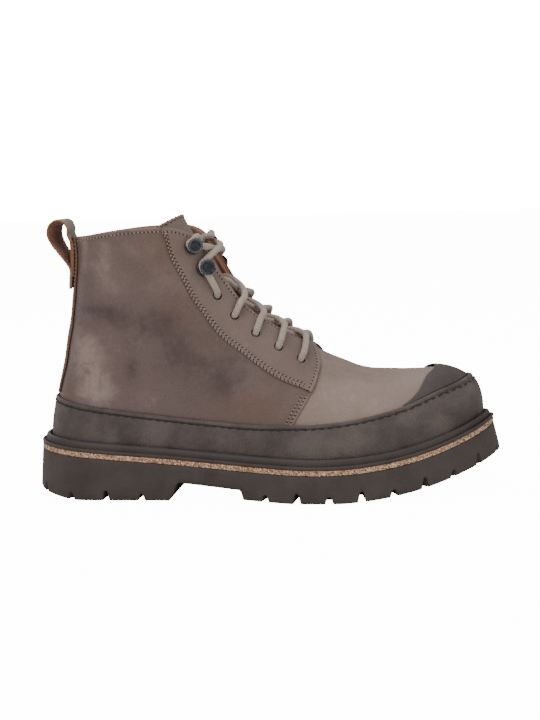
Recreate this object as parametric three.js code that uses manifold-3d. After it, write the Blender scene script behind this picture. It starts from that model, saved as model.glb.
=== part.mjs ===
// A lace-up ankle boot for the right foot, in millimetres: +X to the toe, +Y to the inner (medial) side, +Z up.
// The origin is on the floor under the middle of the heel. Every piece of the upper comes from one function of
// the last, upperPoint: ribs that rise from the feather line, where upper and sole meet, to the ridge of the
// vamp, the edge of the throat or the collar. Overlays are further out along the same function's normals.
import * as THREE from "three";
import { mergeVertices } from "three/addons/utils/BufferGeometryUtils.js";
import Module from "manifold-3d";

const wasm = await Module();
wasm.setup();

// Driving dimensions: the upper and its last
const UPPER_LENGTH = 281; // heel back to toe tip of the upper, along the feather line
const HEEL_CENTRE = 35.5; // heel back of the upper to the middle of the heel, which is the origin
const BALL_WIDTH = 93; // widest part of the feather line
const SHAFT_HEIGHT = 150; // feather line to the highest point of the collar
const UPPER_WALL = 2.4; // vamp leather and its lining
const QUARTER_STEP = 1.0; // how far the quarters stand over the vamp that they lap
const PIECE_GAP = 0.3; // between pieces that meet

// Driving dimensions: the sole
const BALL_SOLE = 21.4; // floor to the top of the cork under the ball
const HEEL_RISE = 13.4; // how much more there is at the back of the heel
const TOE_SPRING = 24; // how far the toe tip is lifted
const CORK_THICKNESS = 3.3;
const WELT_THICKNESS = 2.4;
const WELT_MARGIN = 10; // how far the welt stands out past the feather line
const BEAD_WIDTH = 3.2;
const BEAD_RISE = 4.2;
const BEAD_LEAN = 0.6; // room for the rand's lean over the bead's height
const BEAD_GROOVE = 1.2; // depth of the groove outside the bead
const OUTSOLE_FLARE = 1.2; // how far the tread stands out past the top of the outsole
const OUTSOLE_CHAMFER = 1;
const ARCH_SOLE = 15; // top of the cork to the underside of the arch
const HEEL_BEVEL = 5.5; // lift of the tread at the back of the heel
const HEEL_BREAST_X = 47;
const FOREPART_X = 97.5;
const NOTCH_PITCH = 20.5; // round the edge of the forepart
const HEEL_NOTCH_PITCH = 23.5;
const DEEP_NOTCH = 6.6;
const SHALLOW_NOTCH = 4.6;
const NOTCH_WIDTH = 5.2;
const NOTCH_REACH = 24; // how far a deep notch runs in from the side
const INSOLE_THICKNESS = 5;

// Driving dimensions: overlays and trim
const RAND_HEIGHT = 28;
const RAND_THICKNESS = 1.7;
const TOE_CAP_THICKNESS = 1.1;
const FACING_WIDTH = 30;
const FACING_THICKNESS = 1.1;
const BACK_STAY_THICKNESS = 1.2;
const TONGUE_THICKNESS = 2.2;
const TONGUE_DEPTH = 5.4; // room for a lace between the quarters and the tongue
const LOOP_WIDTH = 24;
const LOOP_THICKNESS = 2;
const LOOP_HEIGHT = 12; // how far the pull loop stands over the collar
const LOOP_DEPTH = 13; // how far it stands out behind the back stay
const LOOP_TAIL = 34; // how far it runs down the back stay
const LACE_DIAMETER = 4.2;
const HOLE_CLEARANCE = 0.4;
const HOOK_CAP_RADIUS = 4.9;
const HOOK_CAP_THICKNESS = 2.0;
const HOOK_POST_RADIUS = 1.7;
const HOOK_BASE_RADIUS = 5.2;
const HOOK_BASE_THICKNESS = 1.1;
const HOOK_SEAT = 0.9; // from the curved facing to the middle of the flat base
const HOOK_THROAT = LACE_DIAMETER + 0.8; // room for a lace between base and cap

// One row per rib, from the toe tip (turn 0) to the back of the heel (turn 1).
//   turn: share of the way round the feather line.
//   footX: from the heel back, in % of the upper's length.  lat, med: half widths in % of the ball width.
//   lowOut, lowUp: the rib's lower handle, outwards and up, in % of the shaft height.
//   topX: the rib's upper end, in % of the length.  mid, half: its middle line and half gap, in % of the ball width.
//   rise: its height over the feather line, in % of the shaft height.
//   upX, upOut, upDrop: the rib's upper handle from there, to the toe, outwards and down, in % of the shaft height.
//   rand: height of the rand there, in % of its stated height.
const COLUMNS =
  "turn footX lat med lowOut lowUp topX mid half rise upX upOut upDrop rand".split(" ");
const RIBS = [
  [0.0, 100.0, -9.6, 9.6, 2.0, 17.5, 85.6, 5.3, 0, 31.8, 22.0, 0, -2.8, 104],
  [0.05, 98.1, 6.4, 28.2, 2.2, 17.3, 85.3, 5.3, 0, 31.9, 17.5, 10.7, -2.2, 105],
  [0.109, 93.4, 21.3, 39.9, 2.4, 17.0, 84.2, 5.3, 0, 32.3, 6.0, 16.5, -1.0, 105],
  [0.191, 85.6, 36.7, 48.4, 3.0, 16.3, 81.4, 5.3, 0, 33.5, 0, 17.5, 0, 101],
  [0.283, 75.7, 46.8, 51.1, 3.3, 16.0, 75.0, 4.3, 0, 35.9, 1.0, 18.0, 0, 96],
  [0.371, 65.8, 50.0, 47.3, 3.3, 16.0, 68.6, 3.2, 0, 40.7, 3.0, 18.0, 0, 90],
  [0.44, 57.6, 48.9, 41.0, 3.0, 17.3, 63.0, 2.1, 0, 45.8, 5.0, 18.0, 0, 86],
  [0.516, 49.3, 44.7, 34.0, 3.0, 20.0, 54.8, 1.0, 12.8, 53.7, 1.0, 15.3, 2.0, 84],
  [0.598, 40.2, 39.4, 29.8, 2.7, 24.0, 45.9, 0, 16.3, 66.2, -4.3, 12.0, 5.0, 85],
  [0.667, 32.4, 35.4, 29.0, 2.0, 28.0, 39.5, 0, 19.5, 84.2, -6.7, 8.0, 12.0, 86],
  [0.717, 26.8, 34.0, 30.1, 2.0, 30.7, 35.8, 0, 25.5, 94.1, -6.7, 4.7, 18.0, 88],
  [0.761, 21.8, 33.5, 31.2, 1.3, 31.0, 31.0, 0, 30.9, 97.1, -5.3, 2.0, 24.0, 90],
  [0.829, 14.0, 33.0, 32.4, 1.3, 28.0, 21.8, 0, 33.0, 95.6, -2.7, -0.7, 28.0, 94],
  [0.892, 6.9, 29.5, 29.3, 1.7, 20.0, 13.3, 0, 27.5, 92.6, 0.3, -0.7, 32.0, 99],
  [0.947, 2.2, 18.1, 18.1, 2.0, 14.5, 8.8, 0, 16.0, 90.6, 1.7, -0.4, 36.0, 103],
  [1.0, 0.4, 0, 0, 2.2, 12.5, 6.8, 0, 0, 90.0, 2.6, 0, 38.0, 104],
].map((row) => Object.fromEntries(COLUMNS.map((name, i) => [name, row[i]])));
const THROAT_TURN = 0.44; // the rib at the foot of the throat, which is also the quarters' front edge
const COLLAR_TURN = 0.717; // the rib at the top of the throat
const OUTER_SIDE = -1;
const INNER_SIDE = 1;

// A smooth curve through values at knots, as a function. before and after are the values one knot past each end.
function smoothColumn(knots, values, before, after) {
  const last = knots.length - 1;
  const x = [2 * knots[0] - knots[1], ...knots, 2 * knots[last] - knots[last - 1]];
  const y = [before, ...values, after];
  const slope = (i) => (y[i + 1] - y[i]) / (x[i + 1] - x[i]);
  const tangent = (i) => {
    const [s0, s1] = [slope(i - 1), slope(i)];
    if (s0 * s1 <= 0) return 0;
    const [h0, h1] = [x[i] - x[i - 1], x[i + 1] - x[i]];
    return (h1 * s0 + h0 * s1) / (h0 + h1);
  };
  return (at) => {
    let i = 1;
    while (i < last && at > x[i + 1]) i++;
    const h = x[i + 1] - x[i];
    const t = (at - x[i]) / h;
    const [t2, t3] = [t * t, t * t * t];
    return (
      y[i] * (2 * t3 - 3 * t2 + 1) +
      tangent(i) * h * (t3 - 2 * t2 + t) +
      y[i + 1] * (3 * t2 - 2 * t3) +
      tangent(i + 1) * h * (t3 - t2)
    );
  };
}

const turns = RIBS.map((r) => r.turn);
const column = (name) => RIBS.map((r) => r[name]);
function evenColumn(name) {
  const v = column(name);
  return smoothColumn(turns, v, v[1], v[v.length - 2]);
}
function oddColumn(name) {
  const v = column(name);
  return smoothColumn(turns, v, -v[1], -v[v.length - 2]);
}
const even = Object.fromEntries(
  "footX lowOut lowUp topX mid rise upX upDrop rand".split(" ").map((n) => [n, evenColumn(n)]),
);
const odd = Object.fromEntries("half upOut".split(" ").map((n) => [n, oddColumn(n)]));
const latWidths = column("lat").map((v) => -v);
const medWidths = column("med");
const beforeHeel = RIBS.length - 2;
const footY = {
  [OUTER_SIDE]: smoothColumn(turns, latWidths, medWidths[1], medWidths[beforeHeel]),
  [INNER_SIDE]: smoothColumn(turns, medWidths, latWidths[1], latWidths[beforeHeel]),
};
const lengthShare = (percent) => (percent / 100) * UPPER_LENGTH - HEEL_CENTRE;
const widthShare = (percent) => (percent / 100) * BALL_WIDTH;
const heightShare = (percent) => (percent / 100) * SHAFT_HEIGHT;

// Heights of the sole over the floor, along the boot
const BALL_X = lengthShare(62.2);
const SOLE_TOE_X = lengthShare(100) + WELT_MARGIN;
const SOLE_HEEL_X = lengthShare(0) - WELT_MARGIN;
const SPRING_POWER = 2.27;
const PITCH_POWER = 1.2;
function corkTop(x) {
  const toe = Math.max(0, (x - BALL_X) / (SOLE_TOE_X - BALL_X));
  const heel = Math.max(0, (BALL_X - x) / (BALL_X - SOLE_HEEL_X));
  return BALL_SOLE - 0.4 + TOE_SPRING * toe ** SPRING_POWER + HEEL_RISE * heel ** PITCH_POWER;
}
const featherZ = (x) => corkTop(x) + WELT_THICKNESS;
const BEVEL_X = -12;
function treadZ(x) {
  if (x > (HEEL_BREAST_X + FOREPART_X) / 2) return Math.max(0, corkTop(x) - BALL_SOLE);
  const back = Math.max(0, (BEVEL_X - x) / (BEVEL_X - SOLE_HEEL_X));
  return HEEL_BEVEL * back ** 1.5;
}

// A point of the feather line, and the direction straight out from it
function featherPoint(turn, side) {
  const x = lengthShare(even.footX(turn));
  return new THREE.Vector3(x, widthShare(footY[side](turn)), featherZ(x));
}
const TURN_STEP = 1e-3;
function outward(turn, side) {
  if (turn < TURN_STEP) return averageOut(TURN_STEP);
  if (turn > 1 - TURN_STEP) return averageOut(1 - TURN_STEP);
  const along = featherPoint(turn + TURN_STEP, side).sub(featherPoint(turn - TURN_STEP, side));
  return new THREE.Vector3(along.y, -along.x, 0).normalize().multiplyScalar(side);
}
function averageOut(turn) {
  return outward(turn, OUTER_SIDE).add(outward(turn, INNER_SIDE)).setZ(0).normalize();
}

// The outside of the upper: turn goes round the feather line, climb from 0 at that line to 1 at the rib's top
function ribHandles(turn, side) {
  const foot = featherPoint(turn, side);
  const out = outward(turn, side);
  const low = foot.clone().addScaledVector(out, heightShare(even.lowOut(turn)));
  low.z += heightShare(even.lowUp(turn));
  const topX = lengthShare(even.topX(turn));
  const half = turn <= THROAT_TURN ? 0 : widthShare(odd.half(turn));
  const top = new THREE.Vector3(
    topX,
    widthShare(even.mid(turn)) + side * half,
    featherZ(topX) + heightShare(even.rise(turn)),
  );
  const high = new THREE.Vector3(
    top.x + heightShare(even.upX(turn)),
    top.y + side * heightShare(odd.upOut(turn)),
    top.z - heightShare(even.upDrop(turn)),
  );
  return [foot, low, high, top];
}
function upperPoint(turn, side, climb) {
  return new THREE.CubicBezierCurve3(...ribHandles(turn, side)).getPoint(climb);
}
const CLIMB_STEP = 2e-3;
function upperNormal(turn, side, climb) {
  const onRidge = climb > 1 - CLIMB_STEP && turn <= THROAT_TURN;
  const t0 = Math.max(0, turn - TURN_STEP);
  const t1 = Math.min(1, turn + TURN_STEP);
  const along = upperPoint(t1, side, climb).sub(upperPoint(t0, side, climb));
  let up = upperPoint(turn, side, Math.min(1, climb + CLIMB_STEP)).sub(
    upperPoint(turn, side, Math.max(0, climb - CLIMB_STEP)),
  );
  if (onRidge) {
    const behind = upperPoint(turn + 0.02, side, 1);
    along.copy(behind).sub(upperPoint(Math.max(0, turn - 0.02), side, 1)).setY(0);
    up = new THREE.Vector3(0, -side, 0);
  } else if (turn < TURN_STEP || turn > 1 - TURN_STEP) {
    const other = turn < TURN_STEP ? turn + TURN_STEP : turn - TURN_STEP;
    along.copy(upperPoint(other, INNER_SIDE, climb)).sub(upperPoint(other, OUTER_SIDE, climb));
    if (turn > 0.5) along.negate();
    return along.cross(up).normalize();
  }
  return along.cross(up).multiplyScalar(side).normalize();
}
function offsetPoint(turn, side, climb, offset) {
  return upperPoint(turn, side, climb).addScaledVector(upperNormal(turn, side, climb), offset);
}
// The climb at which a rib first reaches a height
function climbAtHeight(turn, side, z) {
  let [low, high] = [0, 1];
  for (let i = 0; i < 24; i++) {
    const middle = (low + high) / 2;
    if (upperPoint(turn, side, middle).z < z) low = middle;
    else high = middle;
  }
  return (low + high) / 2;
}
// The climb from which a rib's last stretch has a given length
function climbFromTop(turn, side, length) {
  const steps = 60;
  if (length < PIECE_GAP) return 1;
  let gone = 0;
  for (let i = steps; i > 0; i--) {
    const step = upperPoint(turn, side, i / steps).distanceTo(upperPoint(turn, side, (i - 1) / steps));
    if (gone + step > length) return (i - (length - gone) / step) / steps;
    gone += step;
  }
  return 0;
}

// Turns a list of points and faces into a closed, outward-facing geometry
function closedGeometry(points, faces) {
  const positions = faces.flat().flatMap((i) => points[i].toArray());
  let geometry = new THREE.BufferGeometry();
  geometry.setAttribute("position", new THREE.Float32BufferAttribute(positions, 3));
  geometry = mergeVertices(geometry, 1e-3);
  const index = [];
  const g = geometry.index.array;
  for (let i = 0; i < g.length; i += 3) {
    const [a, b, c] = [g[i], g[i + 1], g[i + 2]];
    if (a !== b && b !== c && a !== c) index.push(a, b, c);
  }
  geometry.setIndex(index);
  if (signedVolume(geometry) < 0) geometry.setIndex(index.reverse());
  return geometry;
}
function signedVolume(geometry) {
  const p = geometry.attributes.position;
  const g = geometry.index.array;
  const [a, b, c] = [new THREE.Vector3(), new THREE.Vector3(), new THREE.Vector3()];
  let sum = 0;
  for (let i = 0; i < g.length; i += 3) {
    a.fromBufferAttribute(p, g[i]);
    b.fromBufferAttribute(p, g[i + 1]);
    c.fromBufferAttribute(p, g[i + 2]);
    sum += a.dot(b.cross(c));
  }
  return sum;
}
// A wall between two grids of points. closed joins the last column to the first; open(i) says whether the top
// edge between column i and the next is a free edge.
function wallGeometry(outside, inside, closed, open = () => true) {
  const columns = outside.length;
  const rows = outside[0].length;
  const points = [...outside.flat(), ...inside.flat()];
  const at = (layer, i, j) => layer * columns * rows + (i % columns) * rows + j;
  const faces = [];
  const quad = (a, b, c, d) => faces.push([a, b, c], [a, c, d]);
  const spans = closed ? columns : columns - 1;
  for (let i = 0; i < spans; i++) {
    for (let j = 0; j < rows - 1; j++) {
      quad(at(0, i, j), at(0, i + 1, j), at(0, i + 1, j + 1), at(0, i, j + 1));
      quad(at(1, i, j), at(1, i, j + 1), at(1, i + 1, j + 1), at(1, i + 1, j));
    }
    quad(at(0, i, 0), at(1, i, 0), at(1, i + 1, 0), at(0, i + 1, 0));
    const top = rows - 1;
    if (open(i)) quad(at(0, i, top), at(0, i + 1, top), at(1, i + 1, top), at(1, i, top));
  }
  if (!closed) {
    const end = columns - 1;
    for (let j = 0; j < rows - 1; j++) {
      quad(at(0, 0, j), at(0, 0, j + 1), at(1, 0, j + 1), at(1, 0, j));
      quad(at(0, end, j), at(1, end, j), at(1, end, j + 1), at(0, end, j + 1));
    }
  }
  return closedGeometry(points, faces);
}
const steps = (count, from = 0, to = 1) =>
  Array.from({ length: count + 1 }, (_, i) => from + ((to - from) * i) / count);

function toSolid(geometry) {
  const bare = geometry.clone();
  for (const name of Object.keys(bare.attributes)) if (name !== "position") bare.deleteAttribute(name);
  const merged = mergeVertices(bare, 1e-3);
  return new wasm.Manifold(
    new wasm.Mesh({
      numProp: 3,
      vertProperties: merged.attributes.position.array,
      triVerts: new Uint32Array(merged.index.array),
    }),
  );
}
function toGeometry(solid) {
  const mesh = solid.getMesh();
  const geometry = new THREE.BufferGeometry();
  const positions = new Float32Array(mesh.numVert * 3);
  for (let i = 0; i < mesh.numVert; i++) {
    for (let k = 0; k < 3; k++) positions[3 * i + k] = mesh.vertProperties[mesh.numProp * i + k];
  }
  geometry.setAttribute("position", new THREE.BufferAttribute(positions, 3));
  geometry.setIndex(new THREE.BufferAttribute(mesh.triVerts, 1));
  return geometry;
}

// The ribs round the boot in order: outer side from toe to heel, then inner side back to the toe
const CAP_TURN = 0.205; // the back of the toe cap's wings
const FACING_FOOT = 0.456; // the lowest corner of the facings
const FACING_END = 0.774; // where the facings run out on the collar
const STAY_TURN = 0.93;
const TURN_STOPS = [
  { from: 0, to: 0.109, count: 4 },
  { from: 0.109, to: CAP_TURN, count: 2 },
  { from: CAP_TURN, to: THROAT_TURN, count: 4 },
  { from: THROAT_TURN, to: FACING_FOOT, count: 1 },
  { from: FACING_FOOT, to: COLLAR_TURN, count: 6 },
  { from: COLLAR_TURN, to: FACING_END, count: 3 },
  { from: FACING_END, to: STAY_TURN, count: 4 },
  { from: STAY_TURN, to: 1, count: 4 },
];
const UPPER_TURNS = [0, ...TURN_STOPS.flatMap(({ from, to, count }) => steps(count, from, to).slice(1))];
const turnsBetween = (low, high) => UPPER_TURNS.filter((turn) => turn > low - 1e-9 && turn < high + 1e-9);
function roundTheBoot(list) {
  const outer = list.map((turn) => ({ turn, side: OUTER_SIDE }));
  const inner = list.slice(1, -1).reverse().map((turn) => ({ turn, side: INNER_SIDE }));
  return [...outer, ...inner];
}
function seated(point) {
  return point.setZ(Math.max(point.z, featherZ(point.x) + PIECE_GAP));
}
const quarterStep = (turn) => (turn >= THROAT_TURN ? QUARTER_STEP : 0);

function makeUpper() {
  const ribs = [];
  for (const rib of roundTheBoot(UPPER_TURNS)) {
    const lap = rib.turn === THROAT_TURN;
    const vampEdge = { ...rib, out: 0 };
    const quarterEdge = { ...rib, out: QUARTER_STEP };
    if (lap && rib.side === OUTER_SIDE) ribs.push(vampEdge, quarterEdge);
    else if (lap) ribs.push(quarterEdge, vampEdge);
    else ribs.push({ ...rib, out: quarterStep(rib.turn) });
  }
  const climbs = [...steps(4, 0, 0.3), ...steps(6, 0.3, 1).slice(1)];
  const outside = ribs.map((r) => climbs.map((c) => seated(offsetPoint(r.turn, r.side, c, r.out))));
  const inside = ribs.map((r) => climbs.map((c) => seated(offsetPoint(r.turn, r.side, c, -UPPER_WALL))));
  const free = (i) => ribs[i].turn >= THROAT_TURN && ribs[(i + 1) % ribs.length].turn >= THROAT_TURN;
  return punched(wallGeometry(outside, inside, true, free), [OUTER_SIDE, INNER_SIDE]);
}

// Plates of the sole: outlines a given margin outside the feather line, with heights from the boot's length
const SOLE_TURNS = [...steps(8, 0, 0.191), ...steps(14, 0.191, 0.829).slice(1), ...steps(7, 0.829, 1).slice(1)];
function outlinePoint(turn, side, margin) {
  return featherPoint(turn, side).addScaledVector(outward(turn, side), margin);
}
// levels: a list of {margin, z(x)} from the top of the plate to its bottom
function plateGeometry(levels) {
  const ribs = roundTheBoot(SOLE_TURNS);
  const columns = ribs.length;
  const points = [];
  for (const level of levels) {
    for (const { turn, side } of ribs) {
      const p = outlinePoint(turn, side, level.margin);
      const lean = level.lean ? level.lean(p.x) : 0;
      points.push(p.clone().setZ(level.z(p.x)).add(new THREE.Vector3(lean, 0, 0)));
    }
  }
  const at = (level, i) => level * columns + ((i + columns) % columns);
  const faces = [];
  for (let level = 0; level < levels.length - 1; level++) {
    for (let i = 0; i < columns; i++) {
      faces.push([at(level, i), at(level + 1, i), at(level + 1, i + 1)]);
      faces.push([at(level, i), at(level + 1, i + 1), at(level, i + 1)]);
    }
  }
  const half = columns / 2;
  for (const [level, turned] of [[0, false], [levels.length - 1, true]]) {
    for (let i = 0; i < half; i++) {
      const ring = [at(level, i), at(level, i + 1), at(level, -i - 1), at(level, -i)];
      if (turned) ring.reverse();
      faces.push([ring[0], ring[1], ring[2]], [ring[0], ring[2], ring[3]]);
    }
  }
  return closedGeometry(points, faces);
}
function prism(corners, y0, y1) {
  const shape = new THREE.Shape(corners.map(([x, z]) => new THREE.Vector2(x, z)));
  const geometry = new THREE.ExtrudeGeometry(shape, { depth: y1 - y0, bevelEnabled: false });
  return geometry.rotateX(Math.PI / 2).translate(0, y1, 0);
}

function makeOutsole() {
  const top = (x) => corkTop(x) - CORK_THICKNESS - PIECE_GAP;
  const slope = (x) => (corkTop(x + 1) - corkTop(x - 1)) / 2;
  const lean = (x) => 0.3 * slope(x) * (top(x) - treadZ(x));
  const body = plateGeometry([
    { margin: WELT_MARGIN, z: top },
    { margin: WELT_MARGIN + OUTSOLE_FLARE, z: (x) => treadZ(x) + OUTSOLE_CHAMFER, lean },
    { margin: WELT_MARGIN + OUTSOLE_FLARE - OUTSOLE_CHAMFER, z: treadZ, lean },
  ]);
  let solid = toSolid(body);
  const far = BALL_WIDTH;
  const archFront = corkTop(FOREPART_X) - ARCH_SOLE;
  const archBack = corkTop(HEEL_BREAST_X) - ARCH_SOLE;
  const under = -5;
  const arch = [
    [HEEL_BREAST_X - 2, under],
    [HEEL_BREAST_X + 6, archBack],
    [FOREPART_X - 2.5, archFront],
    [FOREPART_X + 1, under],
  ];
  solid = solid.subtract(toSolid(prism(arch, -far, far)));
  for (const notch of notches()) solid = solid.subtract(notchSolid(notch));
  return toGeometry(solid);
}
// Where the notches are on each side, deep and shallow in turn, with even steps round the edge
const FIRST_NOTCH_X = FOREPART_X + 13.5;
const LAST_NOTCH_X = HEEL_BREAST_X - 18;
function notches() {
  const list = [];
  for (const side of [OUTER_SIDE, INNER_SIDE]) {
    let turn = soleTurn(FIRST_NOTCH_X, side);
    for (let i = 0; turn > 0.012; i++) {
      list.push({ turn, side, deep: i % 2 === 1 });
      turn = turnFurther(turn, side, -NOTCH_PITCH);
    }
    turn = soleTurn(LAST_NOTCH_X, side);
    for (let i = 0; turn < 0.985; i++) {
      list.push({ turn, side, deep: i % 2 === 1 });
      turn = turnFurther(turn, side, HEEL_NOTCH_PITCH);
    }
  }
  return list;
}
// The turn that is a given way further round the edge of the sole
function turnFurther(turn, side, way) {
  const step = Math.sign(way) * 2e-3;
  let here = outlinePoint(turn, side, WELT_MARGIN);
  for (let left = Math.abs(way); left > 0 && turn > 0 && turn < 1; turn += step) {
    const next = outlinePoint(turn + step, side, WELT_MARGIN).setZ(here.z);
    left -= next.distanceTo(here);
    here = next;
  }
  return turn;
}
function notchSolid({ turn, side, deep }) {
  const depth = deep ? DEEP_NOTCH : SHALLOW_NOTCH;
  const reach = deep ? NOTCH_REACH : NOTCH_REACH * 0.6;
  const half = NOTCH_WIDTH / 2;
  const below = -12;
  const corners = [
    [-half - 1, below],
    [-half, 0],
    [-0.9, depth],
    [0.9, depth],
    [half, 0],
    [half + 1, below],
  ];
  const edge = outlinePoint(turn, side, WELT_MARGIN);
  const out = outward(turn, side);
  const cutter = prism(corners, -reach, reach);
  cutter.rotateZ(Math.atan2(out.y, out.x) - Math.PI / 2);
  return toSolid(cutter.translate(edge.x, edge.y, treadZ(edge.x)));
}
// The turn at which the edge of the sole is a given way along the boot
function soleTurn(x, side) {
  let [low, high] = [0, 1];
  for (let i = 0; i < 30; i++) {
    const middle = (low + high) / 2;
    if (outlinePoint(middle, side, WELT_MARGIN).x > x) low = middle;
    else high = middle;
  }
  return (low + high) / 2;
}

function makeCork() {
  return plateGeometry([
    { margin: WELT_MARGIN - 0.2, z: corkTop },
    { margin: WELT_MARGIN - 0.2, z: (x) => corkTop(x) - CORK_THICKNESS },
  ]);
}
// The welt: a plate under the upper, and round it a flange, a groove and a raised bead against the rand
function makeWelt() {
  const bottom = (x) => corkTop(x) + PIECE_GAP;
  const top = (x) => featherZ(x);
  const beadOut = RAND_THICKNESS + 3 * PIECE_GAP + QUARTER_STEP + BEAD_LEAN + BEAD_WIDTH;
  const beadIn = beadOut - BEAD_WIDTH;
  const raised = (h) => (x) => top(x) + h;
  return plateGeometry([
    { margin: beadIn, z: top },
    { margin: beadIn, z: raised(BEAD_RISE * 0.8) },
    { margin: beadIn + 0.6, z: raised(BEAD_RISE) },
    { margin: beadOut - 0.9, z: raised(BEAD_RISE * 0.85) },
    { margin: beadOut, z: raised(BEAD_RISE * 0.4) },
    { margin: beadOut + 0.3, z: raised(-BEAD_GROOVE) },
    { margin: WELT_MARGIN - 1.2, z: raised(0) },
    { margin: WELT_MARGIN, z: raised(-0.9) },
    { margin: WELT_MARGIN, z: bottom },
  ]);
}
// A footbed inside the upper
function makeInsole() {
  const margin = -(UPPER_WALL + PIECE_GAP + 0.6);
  return plateGeometry([
    { margin, z: (x) => featherZ(x) + PIECE_GAP + INSOLE_THICKNESS },
    { margin, z: (x) => featherZ(x) + PIECE_GAP },
  ]);
}

// Overlays: strips of the upper's own surface, further out
function overlay(ribs, range, near, thickness, closed, rows = 4) {
  const grid = (out) =>
    ribs.map((rib) => {
      const [from, to] = range(rib);
      return steps(rows, from, to).map((c) => seated(offsetPoint(rib.turn, rib.side, c, near(rib) + out)));
    });
  return wallGeometry(grid(thickness), grid(0), closed);
}
const randTop = (rib) => featherPoint(rib.turn, rib.side).z + (even.rand(rib.turn) / 100) * RAND_HEIGHT;
const overUpper = QUARTER_STEP + PIECE_GAP;
const STEP_EASE = 0.12; // the turns over which the rand eases out on to the quarters
function overStep({ turn }) {
  const share = THREE.MathUtils.smoothstep(turn, THROAT_TURN - STEP_EASE, THROAT_TURN);
  return PIECE_GAP + QUARTER_STEP * share;
}
function makeRand() {
  const range = (rib) => [0, climbAtHeight(rib.turn, rib.side, randTop(rib))];
  return overlay(roundTheBoot(UPPER_TURNS), range, overStep, RAND_THICKNESS, true, 4);
}

// A smooth curve through a short table's column
function tableCurve(rows, key, value) {
  const [first, last] = [rows[0], rows[rows.length - 1]];
  return smoothColumn(rows.map((r) => r[key]), rows.map((r) => r[value]), first[value], last[value]);
}
const aboveRand = (rib) => climbAtHeight(rib.turn, rib.side, randTop(rib) + 2 * PIECE_GAP);

// The toe cap: how far up each rib its rear edge is, in % of the way from the rand's top to the ridge
const CAP_EDGE = [
  { turn: 0, share: 70 },
  { turn: 0.0875, share: 49 },
  { turn: 0.158, share: 11.5 },
  { turn: 0.2125, share: 1.5 },
];
const capShare = tableCurve(CAP_EDGE, "turn", "share");
function makeToeCap() {
  const turnsOut = turnsBetween(0, CAP_TURN).reverse();
  const ribs = [
    ...turnsOut.map((turn) => ({ turn, side: OUTER_SIDE })),
    ...turnsOut.slice(0, -1).reverse().map((turn) => ({ turn, side: INNER_SIDE })),
  ];
  const range = (rib) => {
    const foot = aboveRand(rib);
    return [foot, foot + ((1 - foot) * capShare(rib.turn)) / 100];
  };
  return overlay(ribs, range, () => PIECE_GAP, TOE_CAP_THICKNESS, false, 5);
}

// The facings: their width down each rib from the throat or collar, in % of the stated width
const FACING_EDGE = [
  { turn: 0.44, width: 132 },
  { turn: FACING_FOOT, width: 146 },
  { turn: 0.52, width: 118 },
  { turn: 0.579, width: 102 },
  { turn: 0.646, width: 104 },
  { turn: 0.704, width: 98 },
  { turn: 0.75, width: 59 },
  { turn: FACING_END, width: 14 },
];
const FACING_APART = 1.2; // from the middle line to a facing at the foot of the throat
const facingEdge = tableCurve(FACING_EDGE, "turn", "width");
function makeFacing(side) {
  const ribs = turnsBetween(THROAT_TURN, FACING_END).map((turn) => ({ turn, side }));
  const width = (rib) => (facingEdge(rib.turn) / 100) * FACING_WIDTH;
  const apart = (rib) => FACING_APART * (1 - THREE.MathUtils.smoothstep(rib.turn, THROAT_TURN, 0.5));
  const range = (rib) => [width(rib), apart(rib)].map((length) => climbFromTop(rib.turn, side, length));
  return punched(overlay(ribs, range, () => overUpper, FACING_THICKNESS, false, 5), [side]);
}

// The back stay: a strip up the heel, with its half width in % of the pull loop's width
const STAY_EDGE = [
  { climb: 0.25, half: 54 },
  { climb: 0.5, half: 60 },
  { climb: 0.75, half: 53 },
  { climb: 1, half: 51 },
];
const stayEdge = tableCurve(STAY_EDGE, "climb", "half");
// The turn near the heel's back at which a rib is a given way from the middle
function backTurn(y, climb, offset) {
  const side = y < 0 ? OUTER_SIDE : INNER_SIDE;
  let [low, high] = [0.85, 1];
  for (let i = 0; i < 20; i++) {
    const turn = (low + high) / 2;
    if (Math.abs(offsetPoint(turn, side, climb, offset).y) > Math.abs(y)) low = turn;
    else high = turn;
  }
  return (low + high) / 2;
}
function makeBackStay() {
  const low = aboveRand({ turn: 1, side: OUTER_SIDE }) + 0.004;
  const grid = (out) =>
    steps(8, -1, 1).map((share) => {
      const side = share < 0 ? OUTER_SIDE : INNER_SIDE;
      return steps(9, low, 1).map((climb) => {
        const y = (share * stayEdge(climb) * LOOP_WIDTH) / 100;
        return offsetPoint(backTurn(y, climb, 0), side, climb, overUpper + out);
      });
    });
  return wallGeometry(grid(BACK_STAY_THICKNESS), grid(0), false);
}

// Gives a grid of points a thickness, inwards from its own normals
function thickened(grid, thickness) {
  const [columns, rows] = [grid.length, grid[0].length];
  const clamp = (v, top) => Math.min(Math.max(v, 0), top);
  return grid.map((line, i) =>
    line.map((point, j) => {
      const across = grid[clamp(i + 1, columns - 1)][j].clone().sub(grid[clamp(i - 1, columns - 1)][j]);
      const along = line[clamp(j + 1, rows - 1)].clone().sub(line[clamp(j - 1, rows - 1)]);
      return point.clone().addScaledVector(across.cross(along).normalize(), -thickness);
    }),
  );
}

// The tongue: sections under the throat, then free ones that rise over the collar.
//   lap: how far each section runs on under the quarters, in % of the facing width.
//   depth: how far it is under them, in % of the stated depth. The first two lie against the vamp.
const TONGUE_UNDER = [
  { turn: 0.39, lap: 42, depth: 0 },
  { turn: 0.42, lap: 42, depth: 0 },
  { turn: 0.45, lap: 42, depth: 45 },
  { turn: 0.478, lap: 42, depth: 100 },
  { turn: 0.516, lap: 40, depth: 100 },
  { turn: 0.557, lap: 40, depth: 100 },
  { turn: 0.598, lap: 40, depth: 100 },
  { turn: 0.635, lap: 42, depth: 100 },
  { turn: 0.667, lap: 45, depth: 100 },
];
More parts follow.
